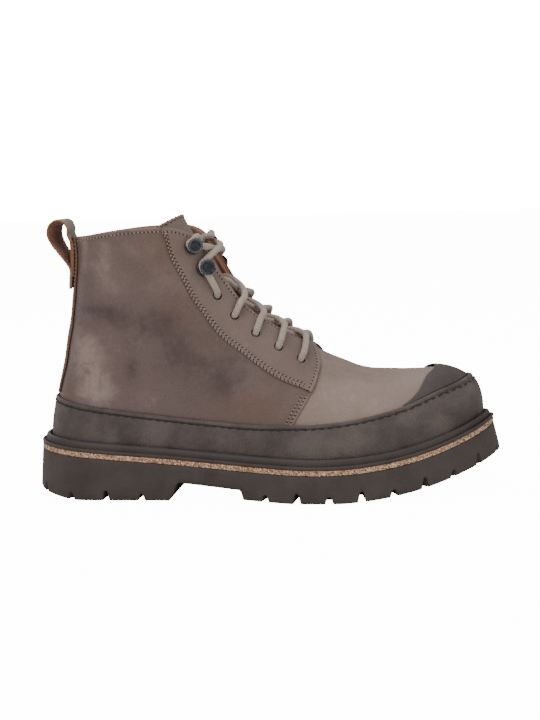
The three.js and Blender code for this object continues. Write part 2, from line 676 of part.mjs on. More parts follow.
//   x, z: middle of a free section, and edgeX, edgeZ: its ends, in % of the upper's length and the shaft height.
//   half: its half width, in % of the ball width.
const TONGUE_FREE = [
  { x: 35.4, z: 91.8, edgeX: 30.0, edgeZ: 88.0, half: 21.0 },
  { x: 33.4, z: 98.2, edgeX: 28.2, edgeZ: 93.0, half: 22.0 },
  { x: 32.2, z: 102.6, edgeX: 26.6, edgeZ: 97.2, half: 22.5 },
];
const TONGUE_CROWN = 0.3; // rise of a section's middle over its shoulders, in half gaps
const TONGUE_SEAT = 0.6; // under the faceted inside of the vamp
function tongueKnots({ turn, lap, depth }) {
  const tongueOffset = -(UPPER_WALL + TONGUE_SEAT + ((TONGUE_DEPTH - TONGUE_SEAT) * depth) / 100);
  const edge = (side) => {
    const climb = climbFromTop(turn, side, (lap / 100) * FACING_WIDTH);
    return offsetPoint(turn, side, climb, tongueOffset);
  };
  const shoulder = (side) => offsetPoint(turn, side, 1, tongueOffset);
  const [left, right] = [shoulder(OUTER_SIDE), shoulder(INNER_SIDE)];
  const normal = upperNormal(turn, OUTER_SIDE, 1).add(upperNormal(turn, INNER_SIDE, 1)).normalize();
  const crown = (TONGUE_CROWN * left.distanceTo(right)) / 2;
  const middle = left.clone().add(right).multiplyScalar(0.5).addScaledVector(normal, crown);
  return left.distanceTo(right) < 1
    ? [edge(OUTER_SIDE), middle, edge(INNER_SIDE)]
    : [edge(OUTER_SIDE), left, middle, right, edge(INNER_SIDE)];
}
function freeTongueKnots({ x, z, edgeX, edgeZ, half }) {
  const base = featherZ(lengthShare(x));
  const point = (px, pz, side, share) =>
    new THREE.Vector3(lengthShare(px), side * share * widthShare(half), base + heightShare(pz));
  const mix = (a, b) => a + (b - a) * 0.35;
  return [
    point(edgeX, edgeZ, OUTER_SIDE, 1),
    point(mix(x, edgeX), mix(z, edgeZ), OUTER_SIDE, 0.72),
    point(x, z, 0, 0),
    point(mix(x, edgeX), mix(z, edgeZ), INNER_SIDE, 0.72),
    point(edgeX, edgeZ, INNER_SIDE, 1),
  ];
}
function makeTongue() {
  const sections = [...TONGUE_UNDER.map(tongueKnots), ...TONGUE_FREE.map(freeTongueKnots)];
  const columns = steps(8);
  const across = sections.map((knots) => {
    const curve = new THREE.CatmullRomCurve3(knots, false, "centripetal");
    return columns.map((share) => curve.getPointAt(share));
  });
  const rows = steps(13);
  const grid = columns.map((_, i) => {
    const curve = new THREE.CatmullRomCurve3(across.map((line) => line[i]), false, "centripetal");
    return rows.map((share) => curve.getPoint(share));
  });
  return wallGeometry(grid, thickened(grid, TONGUE_THICKNESS), false);
}

// The pull loop: a strap that goes up the back stay, over backwards and down on to itself
function backPoint(z, y, offset) {
  const side = y < 0 ? OUTER_SIDE : INNER_SIDE;
  const climb = climbAtHeight(1, side, z);
  return offsetPoint(backTurn(y, climb, offset), side, climb, offset).setY(y).setZ(z);
}
// Its leg and its lap lie on the stay: how far below the collar, in % of the tail.
const LOOP_LEG = [{ drop: 76 }, { drop: 35 }, { drop: 12 }];
const LOOP_LAP = [{ drop: 65 }, { drop: 79 }, { drop: 100 }];
// Between them it is free: back from the leg and up from the collar, in % of the loop's depth and height
const LOOP_FREE = [
  { back: -20, up: 14 },
  { back: -20, up: 52 },
  { back: 4, up: 90 },
  { back: 46, up: 100 },
  { back: 86, up: 74 },
  { back: 100, up: 20 },
  { back: 78, up: -40 },
  { back: 36, up: -100 },
];
function makePullLoop() {
  const collar = upperPoint(1, OUTER_SIDE, 1);
  const legOut = overUpper + BACK_STAY_THICKNESS + PIECE_GAP + LOOP_THICKNESS;
  const lapOut = legOut + LOOP_THICKNESS / 2;
  const seat = (rows, y, out) => rows.map(({ drop }) => backPoint(collar.z - (drop / 100) * LOOP_TAIL, y, out));
  const free = ({ back, up }, y) =>
    new THREE.Vector3(collar.x - legOut - (back / 100) * LOOP_DEPTH, y, collar.z + (up / 100) * LOOP_HEIGHT);
  const grid = steps(4, -LOOP_WIDTH / 2, LOOP_WIDTH / 2).map((y) => {
    const bow = LOOP_FREE.map((row) => free(row, y));
    const knots = [...seat(LOOP_LEG, y, legOut), ...bow, ...seat(LOOP_LAP, y, lapOut)];
    const line = new THREE.CatmullRomCurve3(knots, false, "centripetal");
    return steps(24).map((share) => line.getPoint(share));
  });
  const inner = thickened(grid, LOOP_THICKNESS);
  const part = (from, to) => {
    const [near, far] = [grid, inner].map((layer) => layer.map((line) => line.slice(from, to)));
    return toSolid(wallGeometry(near, far, false));
  };
  const turnBack = 14; // the row of the bow at which the leg ends and the lap starts
  return toGeometry(part(0, turnBack + 1).add(part(turnBack)));
}

// Eyelet holes, from the foot of the throat up, and hooks: their turn, and the way back from the edge in % of
// the facing width; edge is the turn at which the hole's lace goes over the edge of the throat
const EYELETS = [
  { turn: 0.471, back: 76, edge: 0.458 },
  { turn: 0.5125, back: 57, edge: 0.5165 },
  { turn: 0.554, back: 48, edge: 0.558 },
  { turn: 0.596, back: 41, edge: 0.6 },
  { turn: 0.633, back: 41, edge: 0.645 },
];
const HOOKS = [
  { name: "lower", turn: 0.673, back: 32 },
  { name: "upper", turn: 0.712, back: 21 },
];
function facingClimb({ turn, back }, side) {
  return climbFromTop(turn, side, (back / 100) * FACING_WIDTH);
}
// Turns a geometry made along +Y to stand on a point, along a direction
function standOn(geometry, point, direction) {
  const turnTo = new THREE.Quaternion().setFromUnitVectors(new THREE.Vector3(0, 1, 0), direction);
  return geometry.applyQuaternion(turnTo).translate(point.x, point.y, point.z);
}
function punched(geometry, sides) {
  let solid = toSolid(geometry);
  const radius = LACE_DIAMETER / 2 + HOLE_CLEARANCE;
  for (const side of sides) {
    for (const eyelet of EYELETS) {
      const climb = facingClimb(eyelet, side);
      const punch = new THREE.CylinderGeometry(radius, radius, 4 * LACE_DIAMETER, 12);
      standOn(punch, upperPoint(eyelet.turn, side, climb), upperNormal(eyelet.turn, side, climb));
      solid = solid.subtract(toSolid(punch));
    }
  }
  return toGeometry(solid);
}
const overFacing = overUpper + FACING_THICKNESS;
function makeHook(hook, side) {
  const profile = [
    [0, 0],
    [HOOK_BASE_RADIUS, 0],
    [HOOK_BASE_RADIUS, HOOK_BASE_THICKNESS * 0.6],
    [HOOK_BASE_RADIUS - 0.8, HOOK_BASE_THICKNESS],
    [HOOK_POST_RADIUS, HOOK_BASE_THICKNESS],
    [HOOK_POST_RADIUS, HOOK_BASE_THICKNESS + HOOK_THROAT],
    [HOOK_CAP_RADIUS - 0.4, HOOK_BASE_THICKNESS + HOOK_THROAT],
    [HOOK_CAP_RADIUS, HOOK_BASE_THICKNESS + HOOK_THROAT + 0.4],
    [HOOK_CAP_RADIUS, HOOK_BASE_THICKNESS + HOOK_THROAT + HOOK_CAP_THICKNESS - 0.6],
    [HOOK_CAP_RADIUS - 0.9, HOOK_BASE_THICKNESS + HOOK_THROAT + HOOK_CAP_THICKNESS],
    [0, HOOK_BASE_THICKNESS + HOOK_THROAT + HOOK_CAP_THICKNESS],
  ];
  const spool = new THREE.LatheGeometry(profile.map(([r, h]) => new THREE.Vector2(r, h)), 14);
  const { foot, axis } = hookFrame(hook, side);
  return toGeometry(toSolid(standOn(spool, foot, axis)));
}
// Where a hook stands, its axis, and the directions to the throat and up in the plane across it
function hookFrame(hook, side) {
  const climb = facingClimb(hook, side);
  const axis = upperNormal(hook.turn, side, climb);
  const foot = offsetPoint(hook.turn, side, climb, overFacing + HOOK_SEAT);
  const front = upperPoint(hook.turn, side, 1).sub(upperPoint(hook.turn, side, climb));
  front.addScaledVector(axis, -front.dot(axis)).normalize();
  const up = new THREE.Vector3().crossVectors(axis, front).multiplyScalar(side);
  if (up.z < 0) up.negate();
  return { foot, axis, front, up };
}

// Laces
const laceRadius = LACE_DIAMETER / 2;
const laceRest = overFacing + laceRadius + 1.5 * PIECE_GAP;
function laceTube(points, count) {
  const path = new THREE.CatmullRomCurve3(points, false, "centripetal");
  const shape = new THREE.Shape();
  shape.absarc(0, 0, laceRadius, 0, 2 * Math.PI);
  const tube = new THREE.ExtrudeGeometry(shape, { steps: count, extrudePath: path, curveSegments: 3 });
  return toSolid(tube);
}
const throatPoint = (turn, side, offset) => offsetPoint(turn, side, 1, offset);
// The middle of the throat at a turn, lifted off the tongue
function throatMiddle(turn, lift) {
  const [a, b] = [throatPoint(turn, OUTER_SIDE, 0), throatPoint(turn, INNER_SIDE, 0)];
  const normal = upperNormal(turn, OUTER_SIDE, 1).add(upperNormal(turn, INNER_SIDE, 1)).normalize();
  return a.add(b).multiplyScalar(0.5).addScaledVector(normal, lift);
}
function eyeletPoint(eyelet, side, offset) {
  return offsetPoint(eyelet.turn, side, facingClimb(eyelet, side), offset);
}
// The way a lace takes on the facing from a hole to the edge of the throat
const EDGE_LIFT = 0.7;
function overEdge(eyelet, side) {
  return [1, 0.66, 0.33, 0].map((share) => {
    const turn = eyelet.edge + (eyelet.turn - eyelet.edge) * share;
    const rest = laceRest + EDGE_LIFT * (1 - share);
    return offsetPoint(turn, side, facingClimb({ turn, back: eyelet.back * share }, side), rest);
  });
}
// Two strands that leave a pair of holes, cross over the tongue and go in under the far facings. The lifts are
// how far each strand stands over the middle of the throat.
const UNDER_LIFT = 1.4;
const OVER_LIFT = UNDER_LIFT + LACE_DIAMETER - 1;
function makeCrossing(index) {
  const [from, to] = [EYELETS[index], EYELETS[index + 1]];
  const middleTurn = (from.edge + to.turn) / 2;
  const strand = (side, lift) =>
    laceTube(
      [
        ...overEdge(from, side),
        throatMiddle(middleTurn, lift),
        throatPoint(to.turn, -side, -laceRadius * 0.2).lerp(throatMiddle(to.turn, 0), 0.4),
      ],
      11,
    );
  return toGeometry(strand(OUTER_SIDE, OVER_LIFT).add(strand(INNER_SIDE, UNDER_LIFT)));
}
function hookRing(hook, side, angles) {
  const { foot, axis, front, up } = hookFrame(hook, side);
  const reach = HOOK_POST_RADIUS + laceRadius + 2.5 * PIECE_GAP;
  return angles.map((degrees) => {
    const angle = THREE.MathUtils.degToRad(degrees);
    return foot
      .clone()
      .addScaledVector(axis, HOOK_BASE_THICKNESS + HOOK_THROAT / 2)
      .addScaledVector(front, reach * Math.cos(angle))
      .addScaledVector(up, reach * Math.sin(angle));
  });
}
// From the top holes up round the lower hooks, across, and round the upper hooks. The angles are round each
// hook's post, in degrees up from the throat.
const ROUND_LOWER = [195, 150, 110, 75];
const ROUND_UPPER = [-75, -125, 180, 125, 75];
function makeHookLaces() {
  const [lower, upper] = HOOKS;
  const top = EYELETS[EYELETS.length - 1];
  const middleTurn = lower.turn * 0.6 + upper.turn * 0.4;
  const strand = (side, lift) =>
    laceTube(
      [
        eyeletPoint(top, side, laceRest),
        ...hookRing(lower, side, ROUND_LOWER),
        throatPoint(lower.turn + 0.006, side, laceRest + 1),
        throatMiddle(middleTurn, lift),
        throatPoint(upper.turn - 0.014, -side, laceRest + 1),
        ...hookRing(upper, -side, ROUND_UPPER),
        throatPoint(upper.turn + 0.002, -side, laceRest + 1.6),
        throatPoint(upper.turn + 0.002, -side, laceRest).lerp(throatMiddle(upper.turn + 0.002, 3), 0.4),
      ],
      38,
    );
  return toGeometry(strand(OUTER_SIDE, OVER_LIFT + UNDER_LIFT).add(strand(INNER_SIDE, 2 * UNDER_LIFT)));
}

const laceFinish = { color: 0xa8988d, roughness: 0.9, metalness: 0 };
const hookFinish = { color: 0x50565e, roughness: 0.35, metalness: 0.9 };
const parts = {
  upper: { geometry: makeUpper(), color: 0x7f7069, roughness: 0.55, metalness: 0 },
  rand: { geometry: makeRand(), color: 0x4c4240, roughness: 0.7, metalness: 0 },
  toe_cap: { geometry: makeToeCap(), color: 0x4a403e, roughness: 0.7, metalness: 0 },
  facing_lateral: { geometry: makeFacing(OUTER_SIDE), color: 0x8a7a70, roughness: 0.5, metalness: 0 },
  facing_medial: { geometry: makeFacing(INNER_SIDE), color: 0x8a7a70, roughness: 0.5, metalness: 0 },
  back_stay: { geometry: makeBackStay(), color: 0x756760, roughness: 0.55, metalness: 0 },
  tongue: { geometry: makeTongue(), color: 0x786a64, roughness: 0.6, metalness: 0 },
  pull_loop: { geometry: makePullLoop(), color: 0x86766d, roughness: 0.6, metalness: 0 },
  outsole: { geometry: makeOutsole(), color: 0x463b39, roughness: 0.75, metalness: 0 },
  cork_midsole: { geometry: makeCork(), color: 0xb98c6b, roughness: 0.9, metalness: 0 },
  welt: { geometry: makeWelt(), color: 0x423836, roughness: 0.6, metalness: 0 },
  insole: { geometry: makeInsole(), color: 0x9a6a48, roughness: 0.8, metalness: 0 },
  lace_crossing_1: { geometry: makeCrossing(0), ...laceFinish },
  lace_crossing_2: { geometry: makeCrossing(1), ...laceFinish },
  lace_crossing_3: { geometry: makeCrossing(2), ...laceFinish },
  lace_crossing_4: { geometry: makeCrossing(3), ...laceFinish },
  lace_hook_crossing: { geometry: makeHookLaces(), ...laceFinish },
};
for (const hook of HOOKS) {
  for (const [word, side] of [["lateral", OUTER_SIDE], ["medial", INNER_SIDE]]) {
    parts[`hook_${word}_${hook.name}`] = { geometry: makeHook(hook, side), ...hookFinish };
  }
}
const boot = new THREE.Group();
for (const [name, { geometry, ...finish }] of Object.entries(parts)) {
  const mesh = new THREE.Mesh(geometry, new THREE.MeshStandardMaterial(finish));
  mesh.name = name;
  boot.add(mesh);
}
export default boot;
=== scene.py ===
"""Looks of a lace-up ankle boot for the right foot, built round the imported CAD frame.

Every piece of the upper lies on the last, the boot's inner form. A place on the last is a pair of numbers:
way goes round the feather line, where upper and sole meet, from the toe tip (0) to the back of the heel (1), and
is negative on the outer (lateral) side; climb goes up the boot from that line (0) to the ridge of the vamp, the
edge of the throat or the collar (1). Sizes are in millimetres and become metres where a mesh is made.
"""

import logging
import math
from dataclasses import dataclass, field
from enum import Enum
from typing import Callable, Sequence

import bmesh
import bpy
import numpy as np
from mathutils import Matrix, Vector


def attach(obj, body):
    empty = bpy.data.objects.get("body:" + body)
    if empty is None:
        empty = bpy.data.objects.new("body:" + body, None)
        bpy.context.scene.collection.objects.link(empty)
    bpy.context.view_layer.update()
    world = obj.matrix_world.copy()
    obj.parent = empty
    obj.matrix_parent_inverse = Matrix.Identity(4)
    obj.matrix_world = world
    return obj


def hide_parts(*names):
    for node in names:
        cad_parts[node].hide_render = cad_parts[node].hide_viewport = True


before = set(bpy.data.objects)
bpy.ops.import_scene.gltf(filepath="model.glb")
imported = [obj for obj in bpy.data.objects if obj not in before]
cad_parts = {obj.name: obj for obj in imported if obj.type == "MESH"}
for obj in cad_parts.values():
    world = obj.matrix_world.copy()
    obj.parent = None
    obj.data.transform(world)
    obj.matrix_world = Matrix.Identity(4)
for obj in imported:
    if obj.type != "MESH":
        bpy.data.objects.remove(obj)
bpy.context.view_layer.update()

LOG = logging.getLogger("boot")
MM = 0.001
BODY = "root"
Curve = Callable[[np.ndarray], np.ndarray]
Field = Callable[[np.ndarray, np.ndarray], np.ndarray]
# Distances from an edge: past every panel's rim, and past every worn band
FAR = 99.0
UNWORN = 9.0
# Edges closer than this are one, and how finely ribs are measured
TOUCHING = 1e-4
RIB_STEPS = 61


class Side(Enum):
    """The boot's two sides, with the sign of their Y."""

    LATERAL = -1
    MEDIAL = 1

    @property
    def word(self) -> str:
        """The side's name in piece names."""
        return self.name.lower()


class Face(Enum):
    """The faces of a leather panel, as its material slots."""

    GRAIN = 0
    FLESH = 1


# Smooth curves through short tables


class SmoothColumn:
    """A smooth curve through values at knots that is level where its slope turns round."""

    def __init__(self, knots: Sequence[float], values: Sequence[float], before: float, after: float) -> None:
        """Works out the curve's tangents.

        Args:
            knots: where the values hold, in rising order.
            values: the curve's values there.
            before: the value one knot before the first.
            after: the value one knot past the last.
        """
        x = np.array([2 * knots[0] - knots[1], *knots, 2 * knots[-1] - knots[-2]], float)
        y = np.array([before, *values, after], float)
        step, slope = np.diff(x), np.diff(y) / np.diff(x)
        level = slope[:-1] * slope[1:] <= 0
        mean = (step[1:] * slope[:-1] + step[:-1] * slope[1:]) / (step[:-1] + step[1:])
        self.x, self.y, self.tangent = x[1:-1], y[1:-1], np.where(level, 0.0, mean)

    def __call__(self, at: np.ndarray) -> np.ndarray:
        """Evaluates the curve.

        Args:
            at: places along the knots.

        Returns:
            The curve's values there.
        """
        at = np.asarray(at, float)
        i = np.clip(np.searchsorted(self.x, at, side="left") - 1, 0, len(self.x) - 2)
        h = self.x[i + 1] - self.x[i]
        t = (at - self.x[i]) / h
        t2, t3 = t * t, t * t * t
        return (
            self.y[i] * (2 * t3 - 3 * t2 + 1)
            + self.tangent[i] * h * (t3 - 2 * t2 + t)
            + self.y[i + 1] * (3 * t2 - 2 * t3)
            + self.tangent[i + 1] * h * (t3 - t2)
        )


def table_curve(rows: Sequence[tuple[float, float]]) -> SmoothColumn:
    """Makes a smooth curve through a table.

    Args:
        rows: pairs of a knot and its value.

    Returns:
        The curve, level at both ends.
    """
    knots, values = zip(*rows)
    return SmoothColumn(knots, values, values[0], values[-1])


def smoothstep(x: np.ndarray, low: float, high: float) -> np.ndarray:
    """Eases from 0 at low to 1 at high.

    Args:
        x: the values to ease.
        low: where the easing starts.
        high: where it ends.

    Returns:
        The eased shares.
    """
    t = np.clip((np.asarray(x, float) - low) / (high - low), 0, 1)
    return t * t * (3 - 2 * t)


def unit(v: np.ndarray) -> np.ndarray:
    """Vectors scaled to length 1."""
    return v / np.maximum(np.linalg.norm(v, axis=-1, keepdims=True), 1e-12)


def circle(sides: int) -> np.ndarray:
    """Angles evenly spaced round a circle."""
    return np.linspace(0, 2 * math.pi, sides, endpoint=False)


def run_lengths(points: np.ndarray) -> np.ndarray:
    """Measures lines of points.

    Args:
        points: lines of points, with the points of a line on the last axis but one.

    Returns:
        The way from a line's start to each of its points.
    """
    steps = np.linalg.norm(np.diff(points, axis=-2), axis=-1)
    start = np.zeros((*steps.shape[:-1], 1))
    return np.concatenate([start, np.cumsum(steps, axis=-1)], axis=-1)


def resample(points: np.ndarray, at: np.ndarray) -> np.ndarray:
    """Finds points along a line.

    Args:
        points: the line's points.
        at: ways from its start.

    Returns:
        The line's points there.
    """
    gone = run_lengths(points)
    return np.stack([np.interp(at, gone, points[:, k]) for k in range(points.shape[1])], axis=-1)


def flowing_curve(knots: np.ndarray, per_span: int) -> np.ndarray:
    """Draws a centripetal Catmull-Rom curve.

    Args:
        knots: the points that it goes through; more axes before the last two make several curves at once.
        per_span: how many points it has from a knot to the next.

    Returns:
        The curve's points.
    """
    p = np.asarray(knots, float)
    first, last = 2 * p[..., :1, :] - p[..., 1:2, :], 2 * p[..., -1:, :] - p[..., -2:-1, :]
    p = np.concatenate([first, p, last], axis=-2)
    step = np.sqrt(np.maximum(np.linalg.norm(np.diff(p, axis=-2), axis=-1, keepdims=True), 1e-6))
    p0, p1, p2, p3 = p[..., :-3, :], p[..., 1:-2, :], p[..., 2:-1, :], p[..., 3:, :]
    d0, d1, d2 = step[..., :-2, :], step[..., 1:-1, :], step[..., 2:, :]
    t1 = ((p1 - p0) / d0 - (p2 - p0) / (d0 + d1) + (p2 - p1) / d1) * d1
    t2 = ((p2 - p1) / d1 - (p3 - p1) / (d1 + d2) + (p3 - p2) / d2) * d1
    t = (np.arange(per_span) / per_span)[:, None]
    h = [2 * t**3 - 3 * t**2 + 1, t**3 - 2 * t**2 + t, 3 * t**2 - 2 * t**3, t**3 - t**2]
    spans = [x[..., :, None, :] for x in (p1, t1, p2, t2)]
    drawn = sum(share * span for share, span in zip(h, spans))
    drawn = drawn.reshape(*drawn.shape[:-3], -1, drawn.shape[-1])
    return np.concatenate([drawn, p[..., -2:-1, :]], axis=-2)


# The last


RIB_COLUMNS = "turn foot_x lat med low_out low_up top_x mid half rise up_x up_out up_drop rand".split()
# One row per rib from the toe tip to the heel back: turn, then shares in % of the upper's length (foot_x, top_x), of
# the ball width (lat, med, mid, half) and of the shaft height (low_out, low_up, rise, up_x, up_out, up_drop)
RIBS = np.array([
    [0.0, 100.0, -9.6, 9.6, 2.0, 17.5, 85.6, 5.3, 0, 31.8, 22.0, 0, -2.8, 104],
    [0.05, 98.1, 6.4, 28.2, 2.2, 17.3, 85.3, 5.3, 0, 31.9, 17.5, 10.7, -2.2, 105],
    [0.109, 93.4, 21.3, 39.9, 2.4, 17.0, 84.2, 5.3, 0, 32.3, 6.0, 16.5, -1.0, 105],
    [0.191, 85.6, 36.7, 48.4, 3.0, 16.3, 81.4, 5.3, 0, 33.5, 0, 17.5, 0, 101],
    [0.283, 75.7, 46.8, 51.1, 3.3, 16.0, 75.0, 4.3, 0, 35.9, 1.0, 18.0, 0, 96],
    [0.371, 65.8, 50.0, 47.3, 3.3, 16.0, 68.6, 3.2, 0, 40.7, 3.0, 18.0, 0, 90],
    [0.44, 57.6, 48.9, 41.0, 3.0, 17.3, 63.0, 2.1, 0, 45.8, 5.0, 18.0, 0, 86],
    [0.516, 49.3, 44.7, 34.0, 3.0, 20.0, 54.8, 1.0, 12.8, 53.7, 1.0, 15.3, 2.0, 84],
    [0.598, 40.2, 39.4, 29.8, 2.7, 24.0, 45.9, 0, 16.3, 66.2, -4.3, 12.0, 5.0, 85],
    [0.667, 32.4, 35.4, 29.0, 2.0, 28.0, 39.5, 0, 19.5, 84.2, -6.7, 8.0, 12.0, 86],
    [0.717, 26.8, 34.0, 30.1, 2.0, 30.7, 35.8, 0, 25.5, 94.1, -6.7, 4.7, 18.0, 88],
    [0.761, 21.8, 33.5, 31.2, 1.3, 31.0, 31.0, 0, 30.9, 97.1, -5.3, 2.0, 24.0, 90],
    [0.829, 14.0, 33.0, 32.4, 1.3, 28.0, 21.8, 0, 33.0, 95.6, -2.7, -0.7, 28.0, 94],
    [0.892, 6.9, 29.5, 29.3, 1.7, 20.0, 13.3, 0, 27.5, 92.6, 0.3, -0.7, 32.0, 99],
    [0.947, 2.2, 18.1, 18.1, 2.0, 14.5, 8.8, 0, 16.0, 90.6, 1.7, -0.4, 36.0, 103],
    [1.0, 0.4, 0, 0, 2.2, 12.5, 6.8, 0, 0, 90.0, 2.6, 0, 38.0, 104],
])
THROAT_TURN = 0.44
COLLAR_TURN = 0.717
TURN_STEP = 1e-3
CLIMB_STEP = 2e-3


@dataclass
class Last:
    """The boot's form from the floor up: the sole's heights and the outside of the upper."""

    upper_length: float = 281
    heel_centre: float = 35.5
    ball_width: float = 93
    shaft_height: float = 150
    wall: float = 2.4
    quarter_step: float = 1.0
    gap: float = 0.3
    ball_sole: float = 21.4
    heel_rise: float = 13.4
    toe_spring: float = 24
    welt: float = 2.4
    margin: float = 10
    rand_height: float = 28
    columns: dict[str, SmoothColumn] = field(init=False)
    foot_y: dict[int, SmoothColumn] = field(init=False)

    def __post_init__(self) -> None:
        """Fits the ribs' columns with smooth curves."""
        turns = RIBS[:, 0]
        odd = ("half", "up_out")
        self.columns = {}
        for i, name in enumerate(RIB_COLUMNS):
            v = RIBS[:, i]
            sign = -1 if name in odd else 1
            self.columns[name] = SmoothColumn(turns, v, sign * v[1], sign * v[-2])
        lat, med = -RIBS[:, 2], RIBS[:, 3]
        self.foot_y = {
            -1: SmoothColumn(turns, lat, med[1], med[-2]),
            1: SmoothColumn(turns, med, lat[1], lat[-2]),
        }

    def along(self, percent: np.ndarray) -> np.ndarray:
        """The X of a share of the upper's length."""
        return percent / 100 * self.upper_length - self.heel_centre

    def share(self, name: str, turn: np.ndarray) -> np.ndarray:
        """A rib column's value, in % of the shaft height or ball width, as a length."""
        whole = self.ball_width if name in ("mid", "half") else self.shaft_height
        return self.columns[name](turn) / 100 * whole

    def cork_top(self, x: np.ndarray) -> np.ndarray:
        """The height of the top of the cork.

        Args:
            x: places along the boot.

        Returns:
            Heights over the floor.
        """
        ball = self.along(62.2)
        toe = np.maximum(0, (x - ball) / (self.along(100) + self.margin - ball))
        heel = np.maximum(0, (ball - x) / (ball - self.along(0) + self.margin))
        return self.ball_sole - 0.4 + self.toe_spring * toe**2.27 + self.heel_rise * heel**1.2

    def feather_z(self, x: np.ndarray) -> np.ndarray:
        """The height of the feather line."""
        return self.cork_top(x) + self.welt

    def feather(self, way: np.ndarray) -> np.ndarray:
        """Finds points of the feather line.

        Args:
            way: places round it.

        Returns:
            The points.
        """
        turn = np.abs(way)
        y = np.where(np.asarray(way) < 0, self.foot_y[-1](turn), self.foot_y[1](turn)) / 100 * self.ball_width
        x = self.along(self.columns["foot_x"](turn))
        return np.stack([x, y, self.feather_z(x)], axis=-1)

    def outward(self, way: np.ndarray) -> np.ndarray:
        """Finds the level directions straight out from the feather line.

        Args:
            way: places round it.

        Returns:
            The directions.
        """
        way = np.asarray(way, float)
        side = np.where(way < 0, -1.0, 1.0)
        turn = np.clip(np.abs(way), TURN_STEP, 1 - TURN_STEP)

        def square_to(sign: np.ndarray) -> np.ndarray:
            """Finds the directions square to the line.

            Args:
                sign: the signs of the sides.

            Returns:
                The directions.
            """
            edge = self.feather(sign * (turn + TURN_STEP)) - self.feather(sign * (turn - TURN_STEP))
            flat = np.stack([edge[..., 1], -edge[..., 0], np.zeros(turn.shape)], axis=-1)
            return unit(flat) * sign[..., None]

        here, there = square_to(side), square_to(-side)
        tip = (np.abs(way) < TURN_STEP) | (np.abs(way) > 1 - TURN_STEP)
        return np.where(tip[..., None], unit(here + there), here)

    def point(self, way: np.ndarray, climb: np.ndarray) -> np.ndarray:
        """Finds points of the last.

        Args:
            way: places round the boot.
            climb: places up it.

        Returns:
            The points.
        """
        way, climb = np.broadcast_arrays(np.asarray(way, float), np.asarray(climb, float))
        turn, side = np.abs(way), np.where(way < 0, -1.0, 1.0)
        foot = self.feather(way)
        low = foot + self.outward(way) * self.share("low_out", turn)[..., None]
        low[..., 2] += self.share("low_up", turn)
        top_x = self.along(self.columns["top_x"](turn))
        half = np.where(turn <= THROAT_TURN, 0, self.share("half", turn))
        top_y = self.share("mid", turn) + side * half
        top = np.stack([top_x, top_y, self.feather_z(top_x) + self.share("rise", turn)], axis=-1)
        reach = [self.share("up_x", turn), side * self.share("up_out", turn), -self.share("up_drop", turn)]
        high = top + np.stack(reach, axis=-1)
        t = climb[..., None]
        return foot * (1 - t) ** 3 + 3 * low * t * (1 - t) ** 2 + 3 * high * t * t * (1 - t) + top * t**3

    def normal(self, way: np.ndarray, climb: np.ndarray) -> np.ndarray:
        """Finds the last's outward normals.

        Args:
            way: places round the boot.
            climb: places up it.

        Returns:
            The normals.
        """
        way, climb = np.broadcast_arrays(np.asarray(way, float), np.asarray(climb, float))
        turn, side = np.abs(way), np.where(way < 0, -1.0, 1.0)
        before, after = np.maximum(0, turn - TURN_STEP), np.minimum(1, turn + TURN_STEP)
        along = self.point(side * after, climb) - self.point(side * before, climb)
        up = self.point(way, np.minimum(1, climb + CLIMB_STEP)) - self.point(way, np.maximum(0, climb - CLIMB_STEP))
        normal = np.cross(along, up) * side[..., None]
        tip = (turn < TURN_STEP) | (turn > 1 - TURN_STEP)
        other = np.where(turn < 0.5, turn + TURN_STEP, turn - TURN_STEP)
        across = self.point(other, climb) - self.point(-other, climb)
        across = np.where((turn > 0.5)[..., None], -across, across)
        normal = np.where(tip[..., None], np.cross(across, up), normal)
        ridge = (climb > 1 - CLIMB_STEP) & (turn <= THROAT_TURN)
        wide = 0.02
        run = self.point(side * (turn + wide), 1.0) - self.point(side * np.maximum(0, turn - wide), 1.0)
        run[..., 1] = 0
        sideways = np.zeros(run.shape)
        sideways[..., 1] = -1
        return unit(np.where(ridge[..., None], np.cross(run, sideways), normal))

    def climb_at_height(self, way: np.ndarray, z: np.ndarray) -> np.ndarray:
        """Finds where ribs first reach a height.

        Args:
            way: the ribs' places round the boot.
            z: the heights.

        Returns:
            The climbs.
        """
        low, high = np.zeros(np.shape(way)), np.ones(np.shape(way))
        for _ in range(24):
            middle = (low + high) / 2
            under = self.point(way, middle)[..., 2] < z
            low, high = np.where(under, middle, low), np.where(under, high, middle)
        return (low + high) / 2

    def climb_from_top(self, way: np.ndarray, length: np.ndarray) -> np.ndarray:
        """Finds the climbs from which ribs' last stretches have given lengths.

        Args:
            way: the ribs' places round the boot.
            length: the stretches' lengths.

        Returns:
            The climbs.
        """
        way, length = np.broadcast_arrays(np.asarray(way, float), np.asarray(length, float))
        climbs = np.linspace(1, 0, RIB_STEPS)
        gone = run_lengths(self.point(way[..., None], climbs))
        flat = [np.interp(x, g, climbs) for x, g in zip(length.ravel(), gone.reshape(-1, RIB_STEPS))]
        return np.array(flat).reshape(length.shape)

    def rand_top(self, way: np.ndarray, more: float = 0) -> np.ndarray:
        """The climb of the rand's top edge, or of a line a little over it."""
        turn = np.abs(way)
        z = self.feather(way)[..., 2] + self.columns["rand"](turn) / 100 * self.rand_height
        return self.climb_at_height(way, z + more)


# Relief of the leather: soft troughs and ridges that every layer of the upper follows


@dataclass(frozen=True)
class Fold:
    """A trough (negative height) or a ridge in the leather along a line of the last."""

    line: tuple[tuple[float, float], ...]
    width: float
    height: float


